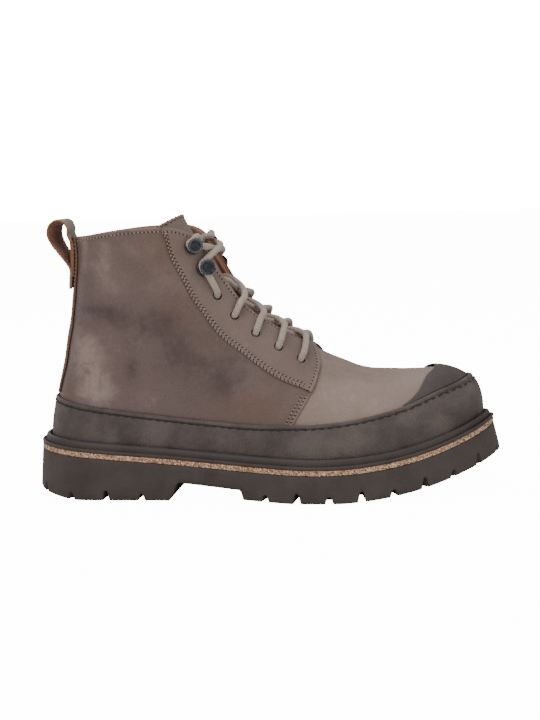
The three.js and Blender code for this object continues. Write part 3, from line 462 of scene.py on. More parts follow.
FOLDS = (
    # Lateral ankle crease, from the heel to the middle of the quarter, and its two short branches
    Fold(((-0.955, 0.67), (-0.9375, 0.65), (-0.8625, 0.585), (-0.8125, 0.545), (-0.758, 0.515)), 7.5, -1.0),
    Fold(((-0.93, 0.72), (-0.87, 0.655), (-0.82, 0.615)), 6.0, 0.55),
    Fold(((-0.865, 0.53), (-0.80, 0.50), (-0.74, 0.47), (-0.69, 0.45)), 7.0, 0.5),
    # Upright trough over the heel counter's front edge, between two ridges
    Fold(((-0.812, 0.44), (-0.796, 0.38), (-0.783, 0.31), (-0.775, 0.25)), 5.0, -1.15),
    Fold(((-0.762, 0.43), (-0.754, 0.35), (-0.746, 0.27)), 5.5, 0.65),
    Fold(((-0.875, 0.50), (-0.862, 0.40), (-0.858, 0.30)), 8.0, 0.7),
    # Shaft: a bright ridge behind the facing, a shallow hollow under the collar
    Fold(((-0.905, 0.94), (-0.89, 0.86), (-0.885, 0.78)), 7.0, 0.45),
    Fold(((-0.86, 0.80), (-0.80, 0.74), (-0.74, 0.70)), 9.0, -0.55),
    Fold(((-0.72, 0.62), (-0.66, 0.56), (-0.60, 0.50), (-0.55, 0.42)), 8.0, -0.55),
    Fold(((-0.70, 0.36), (-0.64, 0.33), (-0.58, 0.30)), 7.0, 0.4),
    # Vamp: the flex lines behind the toe, soft on a new boot
    Fold(((-0.40, 0.62), (-0.36, 0.72), (-0.33, 0.86), (-0.325, 1.0)), 6.0, -0.45),
    Fold(((-0.31, 0.58), (-0.285, 0.72), (-0.27, 0.90)), 6.5, -0.3),
    Fold(((0.325, 1.0), (0.34, 0.84), (0.37, 0.66)), 6.0, -0.45),
    Fold(((0.27, 0.92), (0.29, 0.74), (0.32, 0.56)), 6.5, -0.3),
    # Medial side: the same creases, not quite alike
    Fold(((0.95, 0.65), (0.90, 0.60), (0.84, 0.56), (0.78, 0.53), (0.73, 0.52)), 7.5, -1.0),
    Fold(((0.90, 0.66), (0.84, 0.62), (0.79, 0.60)), 6.5, 0.5),
    Fold(((0.82, 0.45), (0.80, 0.37), (0.79, 0.29)), 5.5, -0.9),
    Fold(((0.86, 0.48), (0.85, 0.38), (0.85, 0.30)), 7.5, 0.6),
    Fold(((0.72, 0.60), (0.66, 0.54), (0.60, 0.47), (0.55, 0.40)), 7.5, -0.6),
)
FOLD_STEP = 1.5


def wrapped(way: np.ndarray) -> np.ndarray:
    """Places counted on past the back of the heel, as places of the lateral side."""
    way = np.asarray(way, float)
    return np.where(way > 1, way - 2, way)


class Upper:
    """The last as the leather covers it, with its folds."""

    def __init__(self, last: Last, folds: Sequence[Fold] = FOLDS) -> None:
        """Traces each fold on the last.

        Args:
            last: the form that the leather covers.
            folds: its troughs and ridges.
        """
        self.last = last
        self.traced = []
        for fold in folds:
            places = flowing_curve(np.array(fold.line), 12)
            points = last.point(places[:, 0], places[:, 1])
            gone = run_lengths(points)
            count = max(4, int(gone[-1] / FOLD_STEP))
            line = resample(points, np.linspace(0, gone[-1], count))
            fade = np.sin(np.linspace(0, math.pi, count)) ** 0.6
            self.traced.append((line, fade * fold.height, fold.width))

    def relief(self, points: np.ndarray) -> np.ndarray:
        """Works out how far the leather stands off the last.

        Args:
            points: points of the last.

        Returns:
            The heights, negative in a trough.
        """
        flat = points.reshape(-1, 3)
        height = np.zeros(len(flat))
        for line, heights, width in self.traced:
            near = np.flatnonzero(
                np.all(flat > line.min(0) - 2.6 * width, axis=1) & np.all(flat < line.max(0) + 2.6 * width, axis=1)
            )
            if len(near) == 0:
                continue
            away = np.linalg.norm(flat[near][:, None] - line[None], axis=2)
            nearest = away.argmin(1)
            gap = away[np.arange(len(near)), nearest]
            height[near] += heights[nearest] * np.exp(-((gap / width) ** 2))
        ripple = sum(
            size * np.sin(flat @ np.array(wave) + phase)
            for size, wave, phase in (
                (0.16, (0.11, 0.03, 0.16), 0.4),
                (0.12, (-0.19, 0.05, 0.13), 2.1),
                (0.07, (0.31, -0.08, 0.22), 4.0),
            )
        )
        rise = flat[:, 2] - self.last.feather_z(flat[:, 0])
        return ((height + ripple) * smoothstep(rise, 22, 36)).reshape(points.shape[:-1])

    def at(self, way: np.ndarray, climb: np.ndarray, out: np.ndarray) -> np.ndarray:
        """Finds points off the last, with the leather's folds.

        Args:
            way: places round the boot.
            climb: places up it.
            out: how far out from the last.

        Returns:
            The points.
        """
        base = self.last.point(way, climb)
        lift = np.asarray(out + self.relief(base))
        return base + self.last.normal(way, climb) * lift[..., None]

    def plain(self, way: np.ndarray, climb: np.ndarray, out: np.ndarray) -> np.ndarray:
        """Points off the last, without folds."""
        lift = np.asarray(out, float)
        return self.last.point(way, climb) + self.last.normal(way, climb) * lift[..., None]


LAST = Last()
UPPER = Upper(LAST)

# Meshes


class MeshStore:
    """Collects the points and faces of one piece and makes its mesh."""

    def __init__(self, name: str) -> None:
        """Starts an empty piece."""
        self.name = name
        self.points: list[np.ndarray] = []
        self.quads: list[np.ndarray] = []
        self.uvs: list[np.ndarray] = []
        self.slots: list[np.ndarray] = []
        self.values: dict[str, list[np.ndarray]] = {}
        self.count = 0

    def add_grid(
        self, points: np.ndarray, uv: np.ndarray, flip: bool = False, slot: int = 0, around: bool = False,
        values: dict[str, np.ndarray] | None = None,
    ) -> None:
        """Adds a grid of quads.

        Args:
            points: the grid's points, in millimetres.
            uv: a pair of surface lengths for each, in millimetres.
            flip: whether the faces are turned over.
            slot: the faces' material slot.
            around: whether the last row joins the first.
            values: more numbers for each point, by name.
        """
        columns, rows = points.shape[:2]
        i, j = np.meshgrid(np.arange(columns - 1), np.arange(rows if around else rows - 1), indexing="ij")
        i, j = i.ravel(), j.ravel()
        k = (j + 1) % rows
        quads = np.stack([i * rows + j, (i + 1) * rows + j, (i + 1) * rows + k, i * rows + k], axis=1)
        corner_uv = uv.reshape(-1, 2)[quads]
        if around:
            turn_over = (uv[0, 1, 1] - uv[0, 0, 1]) * rows
            last_row = j == rows - 1
            corner_uv[last_row, 2:, 1] += turn_over
        if flip:
            quads, corner_uv = quads[:, ::-1], corner_uv[:, ::-1]
        self.add_faces(points.reshape(-1, 3), quads, corner_uv, slot, values)

    def add_faces(
        self, points: np.ndarray, quads: np.ndarray, corner_uv: np.ndarray | None = None, slot: int = 0,
        values: dict[str, np.ndarray] | None = None,
    ) -> None:
        """Adds points and four-cornered faces.

        Args:
            points: the points, in millimetres.
            quads: the faces' corners.
            corner_uv: a pair of surface lengths for each corner.
            slot: the faces' material slot.
            values: more numbers for each point, by name.
        """
        self.quads.append(quads + self.count)
        self.points.append(points)
        self.uvs.append(np.zeros((len(quads), 4, 2)) if corner_uv is None else corner_uv)
        self.slots.append(np.full(len(quads), slot))
        given = values or {}
        for key in {**self.values, **given}:
            known = self.values.setdefault(key, [np.zeros(self.count)] if self.count else [])
            known.append(np.asarray(given[key], float).ravel() if key in given else np.zeros(len(points)))
        self.count += len(points)

    def build(self, materials: Sequence[bpy.types.Material], weld: float = 2e-6) -> bpy.types.Object:
        """Makes the piece.

        Args:
            materials: its material slots.
            weld: how close two points have to be to become one, in metres; 0 keeps all.

        Returns:
            The piece, smooth-shaded.
        """
        points, quads = np.concatenate(self.points) * MM, np.concatenate(self.quads)
        mesh = bpy.data.meshes.new(self.name)
        mesh.vertices.add(len(points))
        mesh.vertices.foreach_set("co", points.astype(np.float32).ravel())
        mesh.loops.add(quads.size)
        mesh.loops.foreach_set("vertex_index", quads.astype(np.int32).ravel())
        mesh.polygons.add(len(quads))
        mesh.polygons.foreach_set("loop_start", np.arange(0, quads.size, 4, dtype=np.int32))
        mesh.polygons.foreach_set("material_index", np.concatenate(self.slots).astype(np.int32))
        layer = mesh.uv_layers.new(name="surface")
        layer.uv.foreach_set("vector", (np.concatenate(self.uvs) * MM).astype(np.float32).ravel())
        for key, parts in self.values.items():
            attribute = mesh.attributes.new(key, "FLOAT", "POINT")
            attribute.data.foreach_set("value", np.concatenate(parts).astype(np.float32))
        mesh.update(calc_edges=True)
        mesh.validate()
        if weld:
            work = bmesh.new()
            work.from_mesh(mesh)
            bmesh.ops.remove_doubles(work, verts=work.verts, dist=weld)
            work.to_mesh(mesh)
            work.free()
        mesh.shade_smooth()
        for material in materials:
            mesh.materials.append(material)
        piece = bpy.data.objects.new(self.name, mesh)
        bpy.context.scene.collection.objects.link(piece)
        return piece


def placed(piece: bpy.types.Object, slot: str, *nodes: str) -> bpy.types.Object:
    """Puts a piece on the boot's body.

    Args:
        piece: the piece.
        slot: the record's material slot for the piece; not used.
        nodes: the CAD nodes that it stands for.

    Returns:
        The piece.
    """
    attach(piece, BODY)
    if nodes:
        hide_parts(*nodes)
    LOG.info("%s: %d faces", piece.name, len(piece.data.polygons))
    return piece


def cut(piece: bpy.types.Object, cutter: bpy.types.Object) -> None:
    """Cuts one piece with another and removes the cutter.

    Args:
        piece: the piece to cut.
        cutter: a closed mesh.
    """
    modifier = piece.modifiers.new("cut", "BOOLEAN")
    modifier.operation = "DIFFERENCE"
    modifier.solver = "EXACT"
    modifier.object = cutter
    turned = bmesh.new()
    turned.from_mesh(cutter.data)
    bmesh.ops.recalc_face_normals(turned, faces=turned.faces)
    turned.to_mesh(cutter.data)
    turned.free()
    graph = bpy.context.evaluated_depsgraph_get()
    made = piece.evaluated_get(graph)
    mesh = bpy.data.meshes.new_from_object(made, preserve_all_data_layers=True, depsgraph=graph)
    piece.modifiers.clear()
    old, piece.data = piece.data, mesh
    bpy.data.meshes.remove(old)
    mesh.name = piece.name
    bpy.data.objects.remove(cutter)


def add_bar(store: MeshStore, ends: np.ndarray, section: np.ndarray, middle: np.ndarray | float = 0.0) -> None:
    """Adds a straight bar, closed at both ends.

    Args:
        store: the piece that it goes into.
        ends: its two ends.
        section: its section's points, from its ends.
        middle: its section's middle, from its ends.
    """
    caps = middle + 0 * section
    grid = np.stack([ends[0] + caps, ends[0] + section, ends[1] + section, ends[1] + caps])
    store.add_grid(grid, np.zeros((*grid.shape[:2], 2)), around=True, flip=True)


def add_rod(store: MeshStore, ends: np.ndarray, radius: float, sides: int) -> None:
    """Adds a plain round rod.

    Args:
        store: the piece that it goes into.
        ends: its two ends.
        radius: its radius.
        sides: how many sides it has.
    """
    along = unit(ends[1] - ends[0])
    helper = np.array([0, 0, 1.0]) if abs(along[2]) < 0.9 else np.array([1.0, 0, 0])
    aside = unit(np.cross(along, helper))
    angle = circle(sides)
    ring = np.outer(np.cos(angle), aside) + np.outer(np.sin(angle), np.cross(along, aside))
    add_bar(store, ends, radius * ring)


def add_cord(store: MeshStore, path: np.ndarray, radius: float, sides: int) -> None:
    """Adds a cord, a little uneven and round at its ends.

    Args:
        store: the piece that it goes into.
        path: its points, close together.
        radius: its radius.
        sides: how many sides it has.
    """
    along = unit(np.gradient(path, axis=0))
    normal = np.zeros(path.shape)
    normal[0] = unit(np.cross(along[0], [0.3, 0.2, 0.93]))
    for i in range(1, len(path)):
        normal[i] = unit(normal[i - 1] - along[i] * np.dot(normal[i - 1], along[i]))
    angle = circle(sides)
    gone = run_lengths(path)
    swell = 1 + 0.025 * np.sin(gone * 1.9) + 0.02 * np.sin(gone * 0.83 + 1)
    swell *= np.sqrt(np.clip(np.minimum(gone, gone[-1] - gone) / radius, 4e-4, 1))
    ring = np.cos(angle)[:, None] * np.cross(along, normal)[:, None] + np.sin(angle)[:, None] * normal[:, None]
    uv = np.stack(np.broadcast_arrays(gone[:, None], angle[None] * radius), axis=-1)
    store.add_grid(path[:, None] + (radius * swell)[:, None, None] * ring, uv, around=True, flip=True)


# Panels: leather cut to shape and laid on the last


EDGE_STEPS = (0.0, 0.12, 0.4, 0.8, 1.3)


def steady(value: float) -> Curve:
    """An edge at one place all along."""
    return lambda at: np.full(np.shape(at), float(value))


def spaced(length: float, pitch: float, fine: float, start: bool, end: bool, count: int) -> np.ndarray:
    """Spaces the points of a grid line, closer together near its round edges.

    Args:
        length: the line's length.
        pitch: the usual step.
        fine: the size of the round edges.
        start: whether the line starts at one.
        end: whether it ends at one.
        count: how many points there are; 0 works it out from the pitch.

    Returns:
        The points' ways along the line.
    """
    fine = min(fine, length / 6)
    steps = np.array(EDGE_STEPS) * fine
    head = steps if start else np.zeros(1)
    tail = length - steps[::-1] if end else np.full(1, length)
    if not count:
        count = max(3, int(length / pitch)) + len(head) + len(tail)
    middle = np.linspace(head[-1], tail[0], count - len(head) - len(tail) + 2)[1:-1]
    return np.concatenate([head, middle, tail])


def edge_gap(edges: Sequence[bool], across: np.ndarray, along: np.ndarray) -> np.ndarray:
    """Measures how far a grid's points are from the nearest round edge.

    Args:
        edges: whether its first and last column and its first and last row are round edges.
        across: each point's way from the first column.
        along: its way from the first row.

    Returns:
        The distances.
    """
    away = np.full(across.shape, FAR)
    for used, gap in zip(edges, (across, across[-1:] - across, along, along[:, -1:] - along)):
        if used:
            away = np.minimum(away, gap)
    return away


def edge_curl(away: np.ndarray, thickness: float) -> np.ndarray:
    """How far leather has risen to its full thickness behind a round edge, from 0 to 1."""
    return np.sqrt(1 - (1 - np.minimum(away / (0.75 * thickness), 1)) ** 2)


@dataclass
class Panel:
    """A piece of leather between four edges of the last."""

    name: str
    left: Curve
    right: Curve
    low: Curve
    high: Curve
    under: float
    thickness: float
    pitch: float = 1.3
    edges: tuple[bool, bool, bool, bool] = (True, True, True, True)
    under_at: Field | None = None
    folds: float = 1.0
    lift_at: Field | None = None
    profile: Curve | None = None
    rows_at: tuple[float, ...] = ()

    def places(self, last: Last) -> tuple[np.ndarray, np.ndarray, np.ndarray, np.ndarray]:
        """Lays the panel's grid out.

        Args:
            last: the form under it.

        Returns:
            way and climb of each point, how far it is from the nearest edge, and its surface lengths.
        """
        left, right, low, high = self.edges
        fine = self.thickness

        def place(s: np.ndarray, t: np.ndarray) -> tuple[np.ndarray, np.ndarray]:
            """The way and climb of shares of the panel across and up."""
            way = wrapped(self.left(t) * (1 - s) + self.right(t) * s)
            foot = self.low(way)
            return way, foot + (self.high(way) - foot) * t

        dense = np.linspace(0, 1, 241)
        middle = run_lengths(last.point(*place(dense, np.full(dense.shape, 0.5))))
        if abs(float(self.left(np.array(0.0))) + float(self.right(np.array(0.0)))) < 1e-9:
            middle = (middle + middle[-1] - middle[::-1]) / 2
        ways = spaced(middle[-1], self.pitch, fine, left, right, 0)
        s = np.interp(ways, middle, dense)[:, None]
        up = np.linspace(0, 1, RIB_STEPS)[None]
        way, climb = place(s, np.broadcast_to(up, (len(s), RIB_STEPS)))
        rise = run_lengths(last.point(way, climb))
        count = len(spaced(float(rise[:, -1].max()), self.pitch, fine, low, high, 0))
        positions = np.stack([spaced(x, self.pitch, fine, low, high, count) for x in rise[:, -1]])
        if self.rows_at:
            extra = rise[:, -1:] - np.array(self.rows_at)[None]
            positions = np.sort(np.concatenate([positions, extra], axis=1), axis=1)
        t = np.stack([np.interp(p, r, up[0]) for p, r in zip(positions, rise)])
        way, climb = place(s, t)
        points = last.point(way, climb)
        sideways = run_lengths(points.swapaxes(0, 1)).T
        return way, climb, edge_gap(self.edges, sideways, positions), np.stack([sideways, positions], axis=-1)

    def build(
        self, upper: Upper, materials: Sequence[bpy.types.Material], grooves: Sequence["Seam"] = (),
        patches_and_painted_light: Sequence["Tone"] = (),
    ) -> bpy.types.Object:
        """Makes the panel.

        Args:
            upper: the surface that it lies on.
            materials: its grain and flesh materials.
            grooves: seams whose thread pulls the leather in.
            patches_and_painted_light: lighter and darker patches of the leather: its own colour changes, painted
                highlights on ridges and painted shade in creases.

        Returns:
            The panel.
        """
        last = upper.last
        way, climb, away, uv = self.places(last)
        base, normal = last.point(way, climb), last.normal(way, climb)
        lift = upper.relief(base) * self.folds
        if self.lift_at is not None:
            lift = lift + self.lift_at(way, climb)
        under = np.full(way.shape, self.under) if self.under_at is None else self.under_at(way, climb)
        curl = edge_curl(away, self.thickness)
        deep = self.under + self.thickness - under
        top = under + deep * (0.5 + 0.5 * curl)
        bottom = under + deep * 0.5 * (1 - curl)
        if self.profile is not None:
            top = top + self.profile(uv[:, -1:, 1] - uv[..., 1])
        for seam in grooves:
            gap = seam.distance(upper, base)
            top = top - seam.sink * np.exp(-((gap / seam.sink_width) ** 2)) * curl
        # Painted highlights and painted shade, summed with the leather's own lighter and darker patches
        tone = sum((x.value(last, base) for x in patches_and_painted_light), np.zeros(way.shape))
        warm = sum((x.value(last, base) for x in WARMTHS), np.zeros(way.shape))
        values = {"edge": away, "tone": tone, "warm": warm}
        outer, inner = base + normal * (lift + top)[..., None], base + normal * (lift + bottom)[..., None]
        floor = last.feather_z(base[..., 0]) + last.gap
        outer[..., 2], inner[..., 2] = np.maximum(outer[..., 2], floor), np.maximum(inner[..., 2], floor)
        store = MeshStore(self.name)
        i, j = way.shape[0] // 2, way.shape[1] // 2
        facing = np.cross(outer[i + 1, j] - outer[i, j], outer[i, j + 1] - outer[i, j])
        flip = bool(np.dot(facing, normal[i, j]) < 0)
        store.add_grid(outer, uv, flip, Face.GRAIN.value, values=values)
        store.add_grid(inner, uv, not flip, Face.FLESH.value, values=values)
        self.add_walls(store, outer, inner, uv, flip)
        return store.build(materials)

    def add_walls(
        self, store: MeshStore, outer: np.ndarray, inner: np.ndarray, uv: np.ndarray, flip: bool
    ) -> None:
        """Closes the panel at the edges that lie under other pieces.

        Args:
            store: the piece's mesh.
            outer: the grid of its outside.
            inner: the grid of its inside.
            uv: their surface lengths.
            flip: whether the outside's faces are turned over.
        """
        closed = np.allclose(outer[0], outer[-1], atol=1e-6)
        rims = [(outer[:, 0], inner[:, 0], uv[:, 0], True), (outer[:, -1], inner[:, -1], uv[:, -1], False)]
        if not closed:
            rims += [(outer[0], inner[0], uv[0], False), (outer[-1], inner[-1], uv[-1], True)]
        for above, below, lengths, turned in rims:
            if np.abs(above - below).max() < TOUCHING:
                continue
            ridge = np.linalg.norm(above - above[::-1], axis=1) < 1e-3
            ridge[[0, -1]] = False
            start = 0
            for end in [*np.flatnonzero(np.diff(ridge.astype(int)) != 0), len(above) - 1]:
                if not ridge[start + 1 if start else 0]:
                    part = slice(start, end + 2 if end < len(above) - 1 else end + 1)
                    strip = np.stack([above[part], below[part]], axis=1)
                    marks = {"edge": np.zeros(strip.shape[:2])}
                    store.add_grid(strip, np.stack([lengths[part]] * 2, axis=1), flip != turned, values=marks)
                start = end


@dataclass(frozen=True)
class Tone:
    """A lighter (positive) or darker patch on the leather, many of them painted highlights and painted shade: where it
    is, its radii and how strong it is.
    """

    way: float
    climb: float
    across: float
    up: float
    strength: float

    def value(self, last: Last, points: np.ndarray) -> np.ndarray:
        """Works out how much it changes the leather.

        Args:
            last: the form under the leather.
            points: points of the last.

        Returns:
            The change at each point.
        """
        away = points - last.point(self.way, self.climb)
        level = np.hypot(away[..., 0], away[..., 1]) / self.across
        return self.strength * np.exp(-(level**2) - (away[..., 2] / self.up) ** 2)


@dataclass
class Seam:
    """Rows of stitches along a line of the last."""

    line: np.ndarray
    out: float
    pitch: float = 2.6
    length: float = 1.9
    thread: float = 0.42
    sink: float = 0.22
    sink_width: float = 0.9
    slant: float = 0.0
    zigzag: float = 0.0
    shift: float = 0.0
    traced: np.ndarray | None = None

    def distance(self, upper: Upper, points: np.ndarray) -> np.ndarray:
        """Measures how far points of the last are from the seam.

        Args:
            upper: the surface that it lies on.
            points: points of the last.

        Returns:
            The distances.
        """
        if self.traced is None:
            base = upper.last.point(self.line[:, 0], self.line[:, 1])
            self.traced = resample(base, np.arange(0, run_lengths(base)[-1], 1.0))
        flat = points.reshape(-1, 3)
        reach = 3 * self.sink_width
        gap = np.full(len(flat), FAR)
        low, high = self.traced.min(0) - reach, self.traced.max(0) + reach
        near = np.flatnonzero(np.all((flat > low) & (flat < high), axis=1))
        for part in np.array_split(near, max(1, len(near) // 4000)):
            if len(part):
                gap[part] = np.linalg.norm(flat[part][:, None] - self.traced[None], axis=2).min(1)
        return gap.reshape(points.shape[:-1])

    def add_to(self, store: MeshStore, points: np.ndarray, normals: np.ndarray) -> None:
        """Adds the seam's stitches, and small dark domes at their ends that are painted shade for their holes.

        Args:
            store: the piece that they go into: slot 0 is the thread, slot 1 the painted shade of the holes.
            points: the seam's line on the surface.
            normals: the surface's normals there.
        """
        total = run_lengths(points)[-1]
        at = np.arange(self.pitch / 2 + self.shift, total - self.pitch / 3, self.pitch)
        if len(at) == 0:
            return
        gone = run_lengths(points)
        centre = resample(points, at)
        normal = unit(np.stack([np.interp(at, gone, normals[:, k]) for k in range(3)], axis=-1))
        step = 0.3
        along = unit(resample(points, np.minimum(at + step, total)) - resample(points, np.maximum(at - step, 0)))
        across = np.cross(normal, along)
        turn = np.full(len(at), self.slant) + self.zigzag * np.where(np.arange(len(at)) % 2 == 0, 1, -1)
        way = along * np.cos(turn)[:, None] + across * np.sin(turn)[:, None]
        aside = np.cross(normal, way)
        self.add_copies(store, stitch_form(self.length / 2, self.thread), centre, way, aside, normal, 0)
        # Dark domes at both ends of each stitch: painted shade for the stitch holes
        ends = np.concatenate([centre + way * self.length * 0.56, centre - way * self.length * 0.56])
        frames = [np.concatenate([x, x]) for x in (way, aside, normal)]
        self.add_copies(store, hole_shade_form(self.thread * 1.4), ends, *frames, 1)

    @staticmethod
    def add_copies(
        store: MeshStore, form: tuple[np.ndarray, np.ndarray], centre: np.ndarray, way: np.ndarray,
        aside: np.ndarray, normal: np.ndarray, slot: int,
    ) -> None:
        """Adds a copy of a small form at each place.

        Args:
            store: the piece that they go into.
            form: the form's points and faces.
            centre: the places.
            way: the direction of the form's first axis at each.
            aside: the direction of its second.
            normal: the direction of its third.
            slot: the faces' material slot.
        """
        points, quads = form
        placed_points = (
            centre[:, None]
            + points[None, :, :1] * way[:, None]
            + points[None, :, 1:2] * aside[:, None]
            + points[None, :, 2:] * normal[:, None]
        )
        faces = quads[None] + (np.arange(len(centre)) * len(points))[:, None, None]
        store.add_faces(placed_points.reshape(-1, 3), faces.reshape(-1, 4), slot=slot)


def stitch_form(half: float, radius: float) -> tuple[np.ndarray, np.ndarray]:
    """Models a stitch: a short thread whose ends dip into the leather.

    Args:
        half: half its length.
        radius: the thread's radius.

    Returns:
        Its points and faces.
    """
    rings, sides = 7, 8
    x = np.linspace(-1, 1, rings)
    angle = circle(sides)
    r = radius * np.sqrt(np.clip(1.08 - x**4, 0.05, 1))
    rise = 0.35 * radius - 1.5 * radius * x**4
    points = np.zeros((rings, sides, 3))
    points[..., 0] = (x * half)[:, None]
    points[..., 1] = r[:, None] * np.cos(angle)
    points[..., 2] = rise[:, None] + 0.8 * r[:, None] * np.sin(angle)
    i, j = np.meshgrid(np.arange(rings - 1), np.arange(sides), indexing="ij")
    i, j = i.ravel(), j.ravel()
    k = (j + 1) % sides
    quads = np.stack([i * sides + j, i * sides + k, (i + 1) * sides + k, (i + 1) * sides + j], axis=1)
    return points.reshape(-1, 3), quads


def hole_shade_form(radius: float) -> tuple[np.ndarray, np.ndarray]:
    """Models a stitch hole as a small dark dome that hardly stands out: painted shade in place of the hole's shadow.

    Args:
        radius: its radius.

    Returns:
        Its points and faces.
    """
    sides = 8
    angle = circle(sides)
    rows = []
    for share, height in ((1.0, -0.15), (0.75, 0.1), (0.3, 0.16)):
        ring = np.stack([np.cos(angle), np.sin(angle), np.zeros(sides)], axis=1) * radius * share
        ring[:, 2] = height
        rows.append(ring)
    points = np.concatenate(rows)
    j = np.arange(sides)
    k = (j + 1) % sides
    quads = [np.stack([row * sides + j, row * sides + k, (row + 1) * sides + k, (row + 1) * sides + j], axis=1)
             for row in range(2)]
    cap = 2 * sides
    quads.append(np.array([[cap, cap + 1, cap + 2, cap + 3], [cap, cap + 3, cap + 4, cap + 7],
                           [cap + 4, cap + 5, cap + 6, cap + 7]]))
    return points, np.concatenate(quads)


def sew(name: str, seams: Sequence[Seam], finishes: "Finishes") -> None:
    """Sews seams on the upper, as one piece.

    Args:
        name: the piece's name.
        seams: its seams.
        finishes: the boot's materials.
    """
    store = MeshStore(name)
    for seam in seams:
        way, climb = seam.line[:, 0], seam.line[:, 1]
        seam.add_to(store, UPPER.at(way, climb, seam.out - seam.sink), LAST.normal(way, climb))
    placed(store.build((finishes.thread, finishes.hole), weld=0.0), "leather")


# Finishes


def srgb(red: int, green: int, blue: int) -> tuple[float, float, float, float]:
    """Turns an 8-bit colour into a linear one.

    Args:
        red: its red.
        green: its green.
        blue: its blue.

    Returns:
        The linear colour, with alpha 1.
    """
    def channel(v: int) -> float:
        """One channel as linear light."""
        c = v / 255
        return c / 12.92 if c <= 0.04045 else ((c + 0.055) / 1.055) ** 2.4

    return channel(red), channel(green), channel(blue), 1.0


Socket = bpy.types.NodeSocket


class Graph:
    """Adds nodes to a node tree in short calls."""

    def __init__(self, tree: bpy.types.NodeTree) -> None:
        """Takes the tree to add to."""
        self.tree = tree

    def node(self, kind: str, inputs: dict[str | int, object] | None = None, **settings: object) -> bpy.types.Node:
        """Adds a node.

        Args:
            kind: its type, without ShaderNode.
            inputs: its inputs by name or number: sockets to link or values.
            settings: its other settings.

        Returns:
            The node.
        """
        node = self.tree.nodes.new("ShaderNode" + kind)
        for key, value in settings.items():
            setattr(node, key, value)
        for key, value in (inputs or {}).items():
            self.feed(node.inputs[key], value)
        return node

    def feed(self, socket: Socket, value: object) -> None:
        """Links a socket or sets its value."""
        if isinstance(value, bpy.types.NodeSocket):
            self.tree.links.new(value, socket)
        else:
            socket.default_value = value

    def math(self, operation: str, a: object, b: object = 0.0, clamp: bool = False) -> Socket:
        """Adds a Math node.

        Args:
            operation: what it works out.
            a: its first input.
            b: its second.
            clamp: whether the result stays from 0 to 1.

        Returns:
            The result's socket.
        """
        return self.node("Math", {0: a, 1: b}, operation=operation, use_clamp=clamp).outputs[0]

    def plus(self, a: object, b: object) -> Socket:
        """The sum of two numbers."""
        return self.math("ADD", a, b)

    def times(self, a: object, b: object) -> Socket:
        """The product of two numbers."""
        return self.math("MULTIPLY", a, b)

    def mix(self, share: object, a: object, b: object, blend: str = "MIX") -> Socket:
        """Mixes two colours.

        Args:
            share: how much of the second.
            a: the first colour.
            b: the second.
            blend: how they are mixed.

        Returns:
            The mixed colour's socket.
        """
        node = self.node("Mix", {"Factor": share}, data_type="RGBA", blend_type=blend)
        self.feed(node.inputs[6], a)
        self.feed(node.inputs[7], b)
        return node.outputs[2]

    def tint(self, colour: object, mask: object, amount: float, other: object) -> Socket:
        """A colour with some of another one where a mask is."""
        return self.mix(self.times(mask, amount), colour, other)

    def ramp(self, value: object, low: float, high: float, start: float = 0.0, end: float = 1.0) -> Socket:
        """Maps a range smoothly to another.

        Args:
            value: the value to map.
            low: the start of its range.
            high: its end.
            start: what low becomes.
            end: what high becomes.

        Returns:
            The mapped value's socket.
        """
        sockets = {"Value": value, "From Min": low, "From Max": high, "To Min": start, "To Max": end}
        return self.node("MapRange", sockets, interpolation_type="SMOOTHSTEP").outputs[0]

    def noise(self, where: object, scale: object, detail: float = 3, rough: float = 0.55, warp: float = 0) -> Socket:
        """Adds a noise.

        Args:
            where: its coordinates.
            scale: how many of its cells a metre has.
            detail: how many finer layers it has.
            rough: how strong they are.
            warp: how distorted it is.

        Returns:
            Its value's socket.
        """
        sockets = {"Vector": where, "Scale": scale, "Detail": detail, "Roughness": rough, "Distortion": warp}
        return self.node("TexNoise", sockets).outputs[0]

    def value_of(self, name: str) -> Socket:
        """The socket of a number that the mesh holds."""
        return self.node("Attribute", attribute_name=name).outputs["Fac"]


